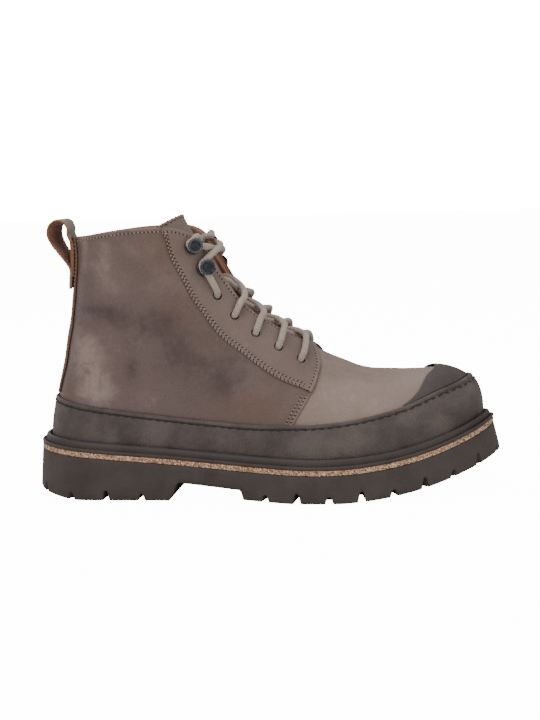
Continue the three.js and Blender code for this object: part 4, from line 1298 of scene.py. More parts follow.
class Effects:
    """Effects that several finishes share, as node groups."""

    def __init__(self) -> None:
        """Starts with no group."""
        self.groups: dict[str, bpy.types.NodeTree] = {}

    def start(self, name: str, inputs: dict[str, str], outputs: Sequence[str]) -> tuple[Graph, dict, bpy.types.Node]:
        """Starts a group.

        Args:
            name: its name.
            inputs: its inputs' names and types.
            outputs: its outputs' names, all numbers.

        Returns:
            A graph of it, its input sockets by name, and its output node.
        """
        tree = bpy.data.node_groups.new(name, "ShaderNodeTree")
        for key, kind in inputs.items():
            tree.interface.new_socket(key, in_out="INPUT", socket_type="NodeSocket" + kind)
        for key in outputs:
            tree.interface.new_socket(key, in_out="OUTPUT", socket_type="NodeSocketFloat")
        given, made = tree.nodes.new("NodeGroupInput"), tree.nodes.new("NodeGroupOutput")
        self.groups[name] = tree
        return Graph(tree), {key: given.outputs[key] for key in inputs}, made

    def use(self, graph: Graph, name: str, **inputs: object) -> dict[str, Socket]:
        """Places a group in a material.

        Args:
            graph: the material's graph.
            name: the group's name.
            inputs: its inputs, with underscores for spaces.

        Returns:
            Its outputs by name.
        """
        if name not in self.groups:
            getattr(self, "make_" + name)()
        node = graph.node("Group", node_tree=self.groups[name])
        for key, value in inputs.items():
            graph.feed(node.inputs[key.replace("_", " ").capitalize()], value)
        return {x.name: x for x in node.outputs}

    def make_grain(self) -> None:
        """Leather grain: soft pebbles, pores between them and fine lines."""
        g, inputs, out = self.start("grain", {"Where": "Vector", "Scale": "Float"}, ("Height", "Pores"))
        bend = g.noise(inputs["Where"], g.times(inputs["Scale"], 0.4), 2)
        moved = g.node("VectorMath", {0: inputs["Where"]}, operation="ADD")
        shift = g.node("VectorMath", {0: bend}, operation="SCALE")
        shift.inputs["Scale"].default_value = 0.0012
        g.feed(moved.inputs[1], shift.outputs[0])
        cells = g.node("TexVoronoi", {"Vector": moved.outputs[0], "Scale": inputs["Scale"]},
                       feature="DISTANCE_TO_EDGE").outputs["Distance"]
        pebbles = g.ramp(cells, 0.0, 0.22)
        fine = g.noise(inputs["Where"], g.times(inputs["Scale"], 2.6), 4, 0.65)
        height = g.plus(g.times(pebbles, 0.55), g.times(fine, 0.6))
        g.feed(out.inputs["Height"], height)
        g.feed(out.inputs["Pores"], g.math("SUBTRACT", 1.0, pebbles))

    def make_mottle(self) -> None:
        """Cloudy light and dark places, as where oiled leather has been bent and rubbed, plus the given patches, which
        hold painted highlights and painted shade.
        """
        g, inputs, out = self.start("mottle", {"Where": "Vector", "Patches": "Float"}, ("Tone",))
        large = g.noise(inputs["Where"], 17, 3, 0.5, 0.6)
        middle = g.noise(inputs["Where"], 52, 4, 0.6, 0.4)
        small = g.noise(inputs["Where"], 240, 4, 0.6)
        broken = g.ramp(g.noise(inputs["Where"], 60, 4, 0.6, 0.8), 0.25, 0.75, 0.45, 1.3)
        # Adds the patches, painted highlights and painted shade among them, broken up by noise
        total = g.plus(0.5, g.times(inputs["Patches"], broken))
        for part, size in ((large, 0.7), (middle, 0.3), (small, 0.2)):
            total = g.plus(total, g.times(g.math("SUBTRACT", part, 0.5), size))
        g.feed(out.inputs["Tone"], g.math("MAXIMUM", g.math("MINIMUM", total, 1.0), 0.0))

    def make_wear(self) -> None:
        """Cut and worn edges: the raw cut itself, and a rubbed band beside it."""
        g, inputs, out = self.start("wear", {"Where": "Vector", "Edge": "Float", "Cut": "Float", "Band": "Float"},
                                    ("Raw", "Rubbed"))
        uneven = g.times(g.math("SUBTRACT", g.noise(inputs["Where"], 700, 2), 0.5), 0.45)
        edge = g.plus(inputs["Edge"], uneven)
        raw = g.math("SUBTRACT", 1.0, g.math("DIVIDE", edge, inputs["Cut"]))
        g.feed(out.inputs["Raw"], g.ramp(raw, 0.0, 0.45))
        rubbed = g.math("SUBTRACT", 1.0, g.math("DIVIDE", edge, inputs["Band"]), clamp=True)
        patchy = g.ramp(g.noise(inputs["Where"], 90, 3), 0.35, 0.62)
        g.feed(out.inputs["Rubbed"], g.times(rubbed, patchy))

    def make_weave(self) -> None:
        """Fine diagonal weave on surface lengths."""
        g, inputs, out = self.start("weave", {"Where": "Vector", "Pitch": "Float"}, ("Height",))
        parts = g.node("SeparateXYZ", {0: inputs["Where"]})
        x, y = parts.outputs[0], parts.outputs[1]
        turns = g.math("DIVIDE", 2 * math.pi, inputs["Pitch"])
        heights = []
        for u, v in ((0.62, 0.78), (0.62, -0.78)):
            run = g.plus(g.times(x, u), g.times(y, v))
            heights.append(g.math("SINE", g.times(run, turns)))
        crossed = g.times(heights[0], heights[1])
        g.feed(out.inputs["Height"], g.ramp(crossed, -0.9, 0.9))

    def make_dust(self) -> None:
        """Thin dust and scuffs in soft flecks."""
        g, inputs, out = self.start("dust", {"Where": "Vector", "Scale": "Float"}, ("Mask",))
        wide = g.ramp(g.noise(inputs["Where"], inputs["Scale"], 4, 0.6, 0.3), 0.48, 0.75)
        flecks = g.ramp(g.noise(inputs["Where"], g.times(inputs["Scale"], 12), 3, 0.7), 0.45, 0.7)
        g.feed(out.inputs["Mask"], g.times(wide, flecks))


EFFECTS = Effects()


class Dressed:
    """A material being made, with its Principled BSDF and its common coordinates."""

    def __init__(self, name: str) -> None:
        """Makes the material.

        Args:
            name: its name.
        """
        self.material = bpy.data.materials.new(name)
        self.material.use_nodes = True
        tree = self.material.node_tree
        self.graph = Graph(tree)
        self.bsdf = tree.nodes["Principled BSDF"]
        places = self.graph.node("TexCoord")
        self.where = places.outputs["Object"]
        self.lengths = self.graph.node("UVMap", uv_map="surface").outputs[0]

    def set(self, **inputs: object) -> None:
        """Feeds inputs of the Principled BSDF, with underscores for spaces."""
        for key, value in inputs.items():
            self.graph.feed(self.bsdf.inputs[key.replace("_", " ")], value)

    def bump(self, height: Socket, depth: float, under: Socket | None = None) -> Socket:
        """Adds a bump.

        Args:
            height: its height, from 0 to 1.
            depth: how deep it is, in millimetres.
            under: the normal of a bump below it.

        Returns:
            The bumped normal's socket.
        """
        node = self.graph.node("Bump", {"Height": height, "Distance": depth * MM, "Strength": 1.0})
        if under is not None:
            self.graph.feed(node.inputs["Normal"], under)
        return node.outputs[0]


@dataclass(frozen=True)
class LeatherFinish:
    """Oiled, waxed leather that pales where it bends and shows its tan core where it is cut, with painted highlights
    and painted shade from its listed patches.
    """

    name: str
    dark: tuple[int, int, int]
    middle: tuple[int, int, int]
    light: tuple[int, int, int]
    cut: tuple[int, int, int] = (158, 112, 82)
    cut_width: float = 0.55
    roughness: float = 0.46
    shine: float = 0.25
    grain: float = 620
    depth: float = 0.05

    def material(self) -> bpy.types.Material:
        """Makes the material.

        Returns:
            The material.
        """
        d = Dressed(self.name)
        g = d.graph
        # The listed patches feed the mottle: painted highlights and painted shade among the leather's own lighter and
        # darker places
        tone = EFFECTS.use(g, "mottle", where=d.where, patches=g.value_of("tone"))["Tone"]
        grain = EFFECTS.use(g, "grain", where=d.where, scale=self.grain)
        wear = EFFECTS.use(g, "wear", where=d.where, edge=g.value_of("edge"), cut=self.cut_width, band=3.2)
        dust = EFFECTS.use(g, "dust", where=d.where, scale=34.0)["Mask"]
        low = g.mix(g.ramp(tone, 0.05, 0.5), srgb(*self.dark), srgb(*self.middle))
        colour = g.mix(g.ramp(tone, 0.5, 1.0), low, srgb(*self.light))
        warm = g.times(g.value_of("warm"), g.ramp(g.noise(d.where, 38, 3, 0.5), 0.3, 0.6, 0.5, 1.0))
        colour = g.mix(g.math("MINIMUM", warm, 1.0), colour, (1.0, 0.93, 0.76, 1.0), "MULTIPLY")
        colour = g.tint(colour, grain["Pores"], 0.16, srgb(*self.dark))
        colour = g.tint(colour, dust, 0.28, srgb(*self.light))
        colour = g.tint(colour, wear["Rubbed"], 0.45, srgb(*self.light))
        colour = g.mix(wear["Raw"], colour, srgb(*self.cut))
        rough = g.plus(self.roughness, g.times(g.math("SUBTRACT", 0.5, tone), 0.14))
        rough = g.plus(rough, g.times(wear["Raw"], 0.3))
        rough = g.plus(rough, g.times(grain["Pores"], 0.1))
        pull = g.noise(d.where, 95, 3, 0.55, 0.5)
        normal = d.bump(pull, 0.22)
        normal = d.bump(grain["Height"], self.depth, normal)
        d.set(Base_Color=colour, Roughness=rough, Normal=normal, Coat_Weight=self.shine, Coat_Roughness=0.42)
        d.set(Specular_IOR_Level=0.42)
        return d.material


@dataclass(frozen=True)
class FleshFinish:
    """The soft inner side of leather, or lining leather."""

    name: str
    dark: tuple[int, int, int]
    light: tuple[int, int, int]
    roughness: float = 0.82
    nap: float = 0.06

    def material(self) -> bpy.types.Material:
        """Makes the material.

        Returns:
            The material.
        """
        d = Dressed(self.name)
        g = d.graph
        cloud = g.noise(d.where, 60, 4, 0.6, 0.4)
        fibre = g.noise(d.where, 1500, 3, 0.7)
        colour = g.mix(g.ramp(cloud, 0.3, 0.7), srgb(*self.dark), srgb(*self.light))
        colour = g.tint(colour, g.ramp(fibre, 0.35, 0.7), 0.35, srgb(*self.dark))
        rough = g.ramp(cloud, 0.3, 0.7, self.roughness, self.roughness - 0.12)
        d.set(Base_Color=colour, Roughness=rough, Normal=d.bump(fibre, self.nap), Sheen_Weight=0.15)
        return d.material


@dataclass(frozen=True)
class RubberFinish:
    """Dark rubber, plain or with a fine pressed weave."""

    name: str
    dark: tuple[int, int, int]
    light: tuple[int, int, int]
    roughness: float = 0.6
    weave: float = 0.0
    weave_depth: float = 0.12
    fine: float = 0.03

    def material(self) -> bpy.types.Material:
        """Makes the material.

        Returns:
            The material.
        """
        d = Dressed(self.name)
        g = d.graph
        cloud = g.noise(d.where, 45, 4, 0.55, 0.3)
        speck = g.noise(d.where, 1400, 3, 0.6)
        dust = EFFECTS.use(g, "dust", where=d.where, scale=50.0)["Mask"]
        wear = EFFECTS.use(g, "wear", where=d.where, edge=g.value_of("edge"), cut=0.4, band=1.8)
        share = g.plus(g.times(g.ramp(cloud, 0.3, 0.7), 0.6), 0.2)
        colour = g.mix(share, srgb(*self.dark), srgb(*self.light))
        normal = d.bump(speck, self.fine)
        if self.weave:
            weave = EFFECTS.use(g, "weave", where=d.lengths, pitch=self.weave * MM)["Height"]
            # Lighter on the weave's raised crests: painted highlight
            colour = g.tint(colour, weave, 0.42, srgb(*self.light))
            normal = d.bump(weave, self.weave_depth, normal)
        colour = g.tint(colour, dust, 0.3, srgb(*self.light))
        colour = g.tint(colour, wear["Rubbed"], 0.35, srgb(*self.light))
        rough = g.ramp(cloud, 0.3, 0.7, self.roughness, self.roughness + 0.1)
        d.set(Base_Color=colour, Roughness=rough, Normal=normal, Specular_IOR_Level=0.4)
        return d.material


@dataclass(frozen=True)
class CorkFinish:
    """Pressed cork granules, light, tan and brown."""

    name: str = "cork_granules"

    def material(self) -> bpy.types.Material:
        """Makes the material.

        Returns:
            The material.
        """
        d = Dressed(self.name)
        g = d.graph
        cells = g.node("TexVoronoi", {"Vector": d.where, "Scale": 1500.0})
        pick = g.node("SeparateColor", {0: cells.outputs["Color"]}).outputs[0]
        colour = g.mix(g.ramp(pick, 0.1, 0.65), srgb(128, 84, 56), srgb(216, 172, 136))
        colour = g.mix(g.ramp(pick, 0.75, 0.95), colour, srgb(240, 216, 190))
        brown = g.ramp(g.noise(d.where, 420, 3, 0.6), 0.56, 0.68)
        colour = g.tint(colour, brown, 0.7, srgb(112, 72, 50))
        height = g.math("SUBTRACT", 1.0, cells.outputs["Distance"])
        rough = g.ramp(pick, 0.0, 1.0, 0.95, 0.75)
        d.set(Base_Color=colour, Roughness=rough, Normal=d.bump(height, 0.25))
        return d.material


@dataclass(frozen=True)
class CordFinish:
    """Tightly braided cotton cord."""

    name: str
    dark: tuple[int, int, int]
    light: tuple[int, int, int]
    pitch: float = 1.15

    def material(self) -> bpy.types.Material:
        """Makes the material.

        Returns:
            The material.
        """
        d = Dressed(self.name)
        g = d.graph
        weave = EFFECTS.use(g, "weave", where=d.lengths, pitch=self.pitch * MM)["Height"]
        cloud = g.noise(d.where, 130, 3, 0.6)
        fibre = g.noise(d.where, 2600, 2, 0.7)
        # Dark in the weave's grooves and light on its crests: painted shade and painted highlight over the cord's
        # colour
        colour = g.mix(g.ramp(weave, 0.05, 0.75), srgb(*self.dark), srgb(*self.light))
        colour = g.tint(colour, g.ramp(cloud, 0.35, 0.7), 0.35, srgb(*self.dark))
        rough = g.ramp(weave, 0.0, 1.0, 0.95, 0.8)
        normal = d.bump(fibre, 0.05, d.bump(weave, 0.28))
        d.set(Base_Color=colour, Roughness=rough, Normal=normal, Sheen_Weight=0.3)
        return d.material


@dataclass(frozen=True)
class MetalFinish:
    """Blackened metal, rubbed bright at its edges."""

    name: str = "gunmetal"

    def material(self) -> bpy.types.Material:
        """Makes the material.

        Returns:
            The material.
        """
        d = Dressed(self.name)
        g = d.graph
        cloud = g.noise(d.where, 420, 4, 0.6, 0.5)
        fine = g.noise(d.where, 2500, 3, 0.6)
        wear = EFFECTS.use(g, "wear", where=d.where, edge=g.value_of("edge"), cut=0.35, band=1.1)
        colour = g.mix(g.ramp(cloud, 0.3, 0.7), srgb(38, 40, 45), srgb(68, 71, 78))
        colour = g.tint(colour, wear["Rubbed"], 0.6, srgb(118, 119, 122))
        rough = g.ramp(cloud, 0.3, 0.7, 0.36, 0.52)
        d.set(Base_Color=colour, Roughness=rough, Metallic=g.ramp(cloud, 0.2, 0.5, 0.75, 0.9))
        d.set(Normal=d.bump(fine, 0.02, d.bump(cloud, 0.05)))
        return d.material


@dataclass(frozen=True)
class ThreadFinish:
    """Sewing thread, with the twist of its plies."""

    name: str
    dark: tuple[int, int, int]
    light: tuple[int, int, int]

    def material(self) -> bpy.types.Material:
        """Makes the material.

        Returns:
            The material.
        """
        d = Dressed(self.name)
        g = d.graph
        ply = g.noise(d.where, 1900, 2, 0.5)
        colour = g.mix(g.ramp(ply, 0.35, 0.65), srgb(*self.dark), srgb(*self.light))
        d.set(Base_Color=colour, Roughness=g.ramp(ply, 0.3, 0.7, 0.75, 0.6), Normal=d.bump(ply, 0.12))
        return d.material


@dataclass(frozen=True)
class FloorFinish:
    """A plain pale studio floor."""

    name: str = "studio_floor"

    def material(self) -> bpy.types.Material:
        """Makes the material.

        Returns:
            The material.
        """
        d = Dressed(self.name)
        g = d.graph
        seen = g.node("LightPath").outputs["Is Camera Ray"]
        d.set(Base_Color=(0.88, 0.88, 0.88, 1), Roughness=0.9, Specular_IOR_Level=0.1)
        d.set(Emission_Color=(1, 1, 1, 1), Emission_Strength=g.times(seen, 14.0))
        return d.material


class Finishes:
    """All the boot's materials."""

    def __init__(self) -> None:
        """Makes each material once."""
        make = LeatherFinish
        self.vamp = make("vamp_leather", (108, 88, 79), (145, 124, 113), (182, 160, 147)).material()
        brown = make("quarter_leather", (70, 52, 50), (107, 87, 81), (152, 130, 122), (134, 104, 84), 0.35, 0.42)
        self.quarter = brown.material()
        taupe = make("facing_leather", (92, 74, 68), (122, 103, 94), (152, 134, 125), (120, 96, 82), 0.35)
        self.facing = taupe.material()
        self.stay = make("stay_leather", (82, 66, 62), (112, 94, 86), (146, 128, 118), (104, 76, 60), 0.6).material()
        self.tongue = make("tongue_leather", (96, 84, 76), (124, 110, 100), (148, 134, 124), roughness=0.55).material()
        self.loop = make("loop_leather", (110, 96, 88), (138, 124, 114), (160, 148, 140), cut_width=0.7).material()
        self.flesh = FleshFinish("leather_flesh", (118, 76, 52), (160, 112, 80)).material()
        self.loop_flesh = FleshFinish("loop_flesh", (110, 65, 45), (162, 105, 75), 0.85, 0.12).material()
        self.lining = FleshFinish("lining_leather", (132, 92, 66), (170, 126, 94), 0.6, 0.03).material()
        self.footbed = FleshFinish("footbed_suede", (124, 88, 64), (156, 118, 90)).material()
        self.rand = RubberFinish("rand_rubber", (38, 31, 29), (112, 99, 94), 0.6, 1.15, 0.2).material()
        self.cap = RubberFinish("toe_cap_rubber", (64, 55, 53), (92, 82, 79), 0.58, 0.0, 0.0, 0.06).material()
        self.outsole = RubberFinish("outsole_rubber", (58, 49, 46), (82, 72, 68), 0.62).material()
        self.welt = RubberFinish("welt_rubber", (52, 44, 42), (76, 66, 63), 0.5).material()
        self.cork = CorkFinish().material()
        self.lace = CordFinish("lace_cotton", (138, 119, 106), (222, 203, 187)).material()
        self.metal = MetalFinish().material()
        self.thread = ThreadFinish("seam_thread", (128, 106, 92), (178, 156, 140)).material()
        self.dark_thread = ThreadFinish("rand_thread", (26, 21, 20), (46, 38, 37)).material()
        # Near-black colour of the stitch-hole domes: painted shade
        self.hole = ThreadFinish("stitch_hole_shade", (22, 15, 13), (38, 27, 23)).material()


# The upper's own pieces


# The vamp runs under the quarters to this turn, and both start at this climb
VAMP_TURN = 0.468
FOOT_CLIMB = 0.004
# The turn of the quarters' front edge at each climb
FRONT_SEAM = table_curve([(0.0, 0.449), (0.30, 0.4417), (0.42, 0.433), (0.57, 0.425), (0.74, 0.429), (0.87, 0.4417),
                          (1.0, 0.4465)])
FACING_WIDTH = 30
FACING_END = 0.774
# The facing's width at each turn, in % of the facing width
FACING_EDGE = table_curve([(0.425, 151), (0.44, 149), (0.456, 145), (0.52, 118), (0.579, 102), (0.646, 104),
                           (0.704, 98), (0.75, 59), (FACING_END, 14)])
# The cap's rear edge on the outer and the inner side, in % of the way from the rand to the ridge
CAP_EDGE = table_curve([(0.0, 70), (0.0875, 49), (0.158, 11.5), (0.2125, 1.5)])
CAP_FAR_EDGE = table_curve([(0.0, 70), (0.045, 67), (0.0875, 57), (0.158, 17), (0.2125, 1.5)])
CAP_TURN = 0.205
# One row per eyelet from the foot of the throat: turn, way back from the throat's edge in % of the facing
# width, and the turn at which the lace crosses that edge
EYELETS = ((0.471, 76, 0.475), (0.5125, 57, 0.5165), (0.554, 48, 0.558), (0.596, 41, 0.6), (0.633, 41, 0.645))
# The hooks' turn and way back
HOOKS = {"lower": (0.673, 32), "upper": (0.712, 21)}

# Lighter and darker patches of the upper: partly the oiled leather's own colour, partly painted highlights on fold
# ridges and painted shade in creases and troughs
TONE_PATCHES_AND_PAINTED_LIGHT = (
    Tone(-0.885, 0.46, 17, 20, 0.42), Tone(-0.852, 0.27, 20, 15, 0.42), Tone(-0.875, 0.85, 9, 17, 0.28),
    Tone(-0.925, 0.95, 5, 16, 0.32), Tone(-0.754, 0.34, 7, 18, 0.16), Tone(-0.785, 0.36, 8, 15, -0.22),
    Tone(-0.883, 0.67, 16, 8, -0.3), Tone(-0.80, 0.585, 28, 11, -0.24), Tone(-0.883, 0.79, 10, 8, -0.12),
    Tone(-0.70, 0.46, 27, 18, -0.22), Tone(-0.604, 0.42, 24, 15, -0.2), Tone(-0.683, 0.27, 26, 9, 0.08),
    Tone(-0.775, 0.72, 24, 14, 0.10), Tone(-0.57, 0.36, 20, 9, 0.05), Tone(-0.84, 0.93, 20, 8, 0.12),
    Tone(-0.345, 0.51, 26, 12, 0.22), Tone(-0.30, 0.82, 26, 7, -0.12), Tone(-0.40, 0.35, 12, 10, -0.1),
    Tone(0.87, 0.50, 15, 15, 0.34), Tone(0.85, 0.30, 20, 13, 0.3), Tone(0.80, 0.36, 8, 15, -0.22),
    Tone(0.84, 0.60, 28, 10, -0.26), Tone(0.70, 0.44, 28, 16, -0.2), Tone(0.90, 0.86, 9, 15, 0.24),
    Tone(0.60, 0.45, 22, 13, -0.16), Tone(0.34, 0.5, 26, 12, 0.2),
)
# Where the leather is a warmer brown
WARMTHS = (
    Tone(-0.52, 0.32, 24, 17, 1.0), Tone(-0.77, 0.88, 18, 16, 0.8), Tone(-0.70, 0.62, 14, 14, 0.7),
    Tone(-0.40, 0.2, 18, 10, 0.6), Tone(-0.62, 0.55, 14, 12, 0.5), Tone(-0.93, 0.25, 9, 14, 0.7),
    Tone(0.55, 0.35, 24, 17, 0.8), Tone(0.78, 0.85, 18, 16, 0.7), Tone(0.40, 0.2, 20, 10, 0.5),
)


def facing_low(way: np.ndarray) -> np.ndarray:
    """The climb of a facing's lower edge."""
    turn = np.clip(np.abs(way), 0.42, FACING_END)
    return LAST.climb_from_top(np.sign(way) * turn, FACING_EDGE(turn) / 100 * FACING_WIDTH)


def eyelet_climb(turn: float, back: float, side: int) -> float:
    """The climb of a place that is back from the throat's edge, in % of the facing width."""
    return float(LAST.climb_from_top(side * turn, back / 100 * FACING_WIDTH))


@dataclass
class Uppers:
    """The leather of the upper: vamp, quarters, facings, lining, and their seams."""

    finishes: Finishes
    lace: float = 4.2
    facing_thickness: float = 1.1
    first_row: float = 1.1
    row_gap: float = 2.4
    edge_row: float = 2.6
    front_row: float = 0.0105
    front_rows: tuple[float, float] = (0.0075, 0.0155)
    punch_back: float = 1.6
    punch_spare: float = 0.8
    punch_reach: float = 6.0

    @property
    def facing_under(self) -> float:
        """How far the facings' inside is over the last."""
        return LAST.quarter_step + LAST.gap

    def seams(self) -> dict[str, list[Seam]]:
        """Works out the seams on both sides.

        Returns:
            The seams by name.
        """
        found: dict[str, list[Seam]] = {"facing": [], "front": [], "collar": []}
        over_facing = self.facing_under + self.facing_thickness
        for side in (-1, 1):
            turns = np.linspace(FACING_END - 0.004, 0.446, 60)
            edge = FACING_EDGE(turns) / 100 * FACING_WIDTH
            for row, slant in ((self.first_row, 0.35), (self.first_row + self.row_gap, -0.35)):
                climb = LAST.climb_from_top(side * turns, np.maximum(edge - row, 1.0))
                line = np.stack([side * turns, climb], axis=1)
                found["facing"].append(Seam(line, over_facing, slant=slant, shift=row / 3))
            junction = float(facing_low(np.array(side * 0.437)))
            rise = np.linspace(junction, 0.975, 30)
            line = np.stack([side * (FRONT_SEAM(rise) + self.front_row), rise], axis=1)
            found["front"].append(Seam(line, over_facing))
            rise = np.linspace(0.16, junction - 0.015, 24)
            for row in self.front_rows:
                line = np.stack([side * (FRONT_SEAM(rise) + row), rise], axis=1)
                found["front"].append(Seam(line, LAST.quarter_step, slant=0.3))
            turns = np.linspace(0.465, 0.985, 120)
            climb = LAST.climb_from_top(side * turns, self.edge_row)
            out = np.where(turns < FACING_END, over_facing, LAST.quarter_step)
            found["collar"].append(Seam(np.stack([side * turns, climb], axis=1), out, slant=0.15))
        return found

    def build(self) -> None:
        """Makes every piece and dresses it."""
        seams = self.seams()
        f = self.finishes
        inside = LAST.wall - LAST.quarter_step - 0.1
        vamp = Panel(
            "vamp", steady(-VAMP_TURN), steady(VAMP_TURN), steady(FOOT_CLIMB), steady(1.0), -1.0, 1.0,
            edges=(False, False, False, False),
        ).build(UPPER, (f.vamp, f.flesh), patches_and_painted_light=TONE_PATCHES_AND_PAINTED_LIGHT)
        placed(vamp, "leather", "upper")
        for side in Side:
            self.build_side(side, seams)
        lining = Panel(
            "lining", steady(-1.0), steady(1.0), steady(FOOT_CLIMB), steady(1.0), -LAST.wall, inside, pitch=2.0,
            edges=(False, False, False, False), folds=0.3,
        ).build(UPPER, (f.lining, f.lining))
        self.punch(lining, (-1, 1))
        placed(lining, "tongue_leather", "upper")
        for name, group in seams.items():
            sew(f"stitches_{name}", group, f)

    def build_side(self, side: Side, seams: dict[str, list[Seam]]) -> None:
        """Makes one side's quarter and facing.

        Args:
            side: the side.
            seams: all the seams.
        """
        f, sign = self.finishes, side.value

        def under_quarter(way: np.ndarray, climb: np.ndarray) -> np.ndarray:
            """How far out the quarter's inside is: over the vamp, then down on the lining."""
            return 0.05 - smoothstep(np.abs(way), VAMP_TURN, VAMP_TURN + 0.022) * 1.05

        quarter = Panel(
            f"quarter_{side.word}", lambda t: sign * FRONT_SEAM(t), steady(sign * 1.0), steady(FOOT_CLIMB),
            steady(1.0), 0.05, 0.95, pitch=1.2, edges=(True, False, False, True), under_at=under_quarter,
        )
        mine = [s for group in ("front", "collar") for s in seams[group] if np.sign(s.line[0, 0]) == sign]
        piece = quarter.build(UPPER, (f.quarter, f.flesh), mine, TONE_PATCHES_AND_PAINTED_LIGHT)
        self.punch(piece, (sign,))
        placed(piece, "leather", "upper")
        foot = float(facing_low(np.array(sign * 0.434)))
        facing = Panel(
            f"eyestay_{side.word}",
            lambda t: sign * (FRONT_SEAM(foot + (1 - foot) * t) + 0.0012),
            steady(sign * FACING_END), facing_low, steady(1.0), self.facing_under, self.facing_thickness,
            pitch=1.0,
        )
        mine = [s for group in seams.values() for s in group if np.sign(s.line[0, 0]) == sign]
        piece = facing.build(UPPER, (f.facing, f.flesh), mine, TONE_PATCHES_AND_PAINTED_LIGHT)
        self.punch(piece, (sign,))
        placed(piece, "facing_leather", f"facing_{side.word}")

    def punch(self, piece: bpy.types.Object, signs: Sequence[int]) -> None:
        """Punches the lace holes.

        Args:
            piece: the piece to punch.
            signs: the sides on which to punch it.
        """
        store = MeshStore("punch")
        for sign in signs:
            for turn, back, _ in EYELETS:
                climb = eyelet_climb(turn, back + self.punch_back, sign)
                reach = np.array([-self.punch_reach, self.punch_reach])
                ends = UPPER.plain(np.array([sign * turn] * 2), np.array([climb] * 2), reach)
                add_rod(store, ends, self.lace / 2 + self.punch_spare, 28)
        cut(piece, store.build(()))


def back_turn(half: np.ndarray, climb: np.ndarray, side: int = 1, out: float = 0.0) -> np.ndarray:
    """Finds where the back of the boot has a given half width.

    Args:
        half: the half widths.
        climb: places up the boot.
        side: the sign of the side.
        out: how far out from the last.

    Returns:
        The turns round the boot.
    """
    half, climb = np.broadcast_arrays(np.asarray(half, float), np.asarray(climb, float))
    low, high = np.full(half.shape, 0.85), np.ones(half.shape)
    for _ in range(22):
        middle = (low + high) / 2
        wide = np.abs(UPPER.plain(side * middle, climb, out)[..., 1]) > half
        low, high = np.where(wide, middle, low), np.where(wide, high, middle)
    return (low + high) / 2


STAY_EDGE = table_curve([(0.25, 54), (0.5, 60), (0.75, 53), (1.0, 51)])


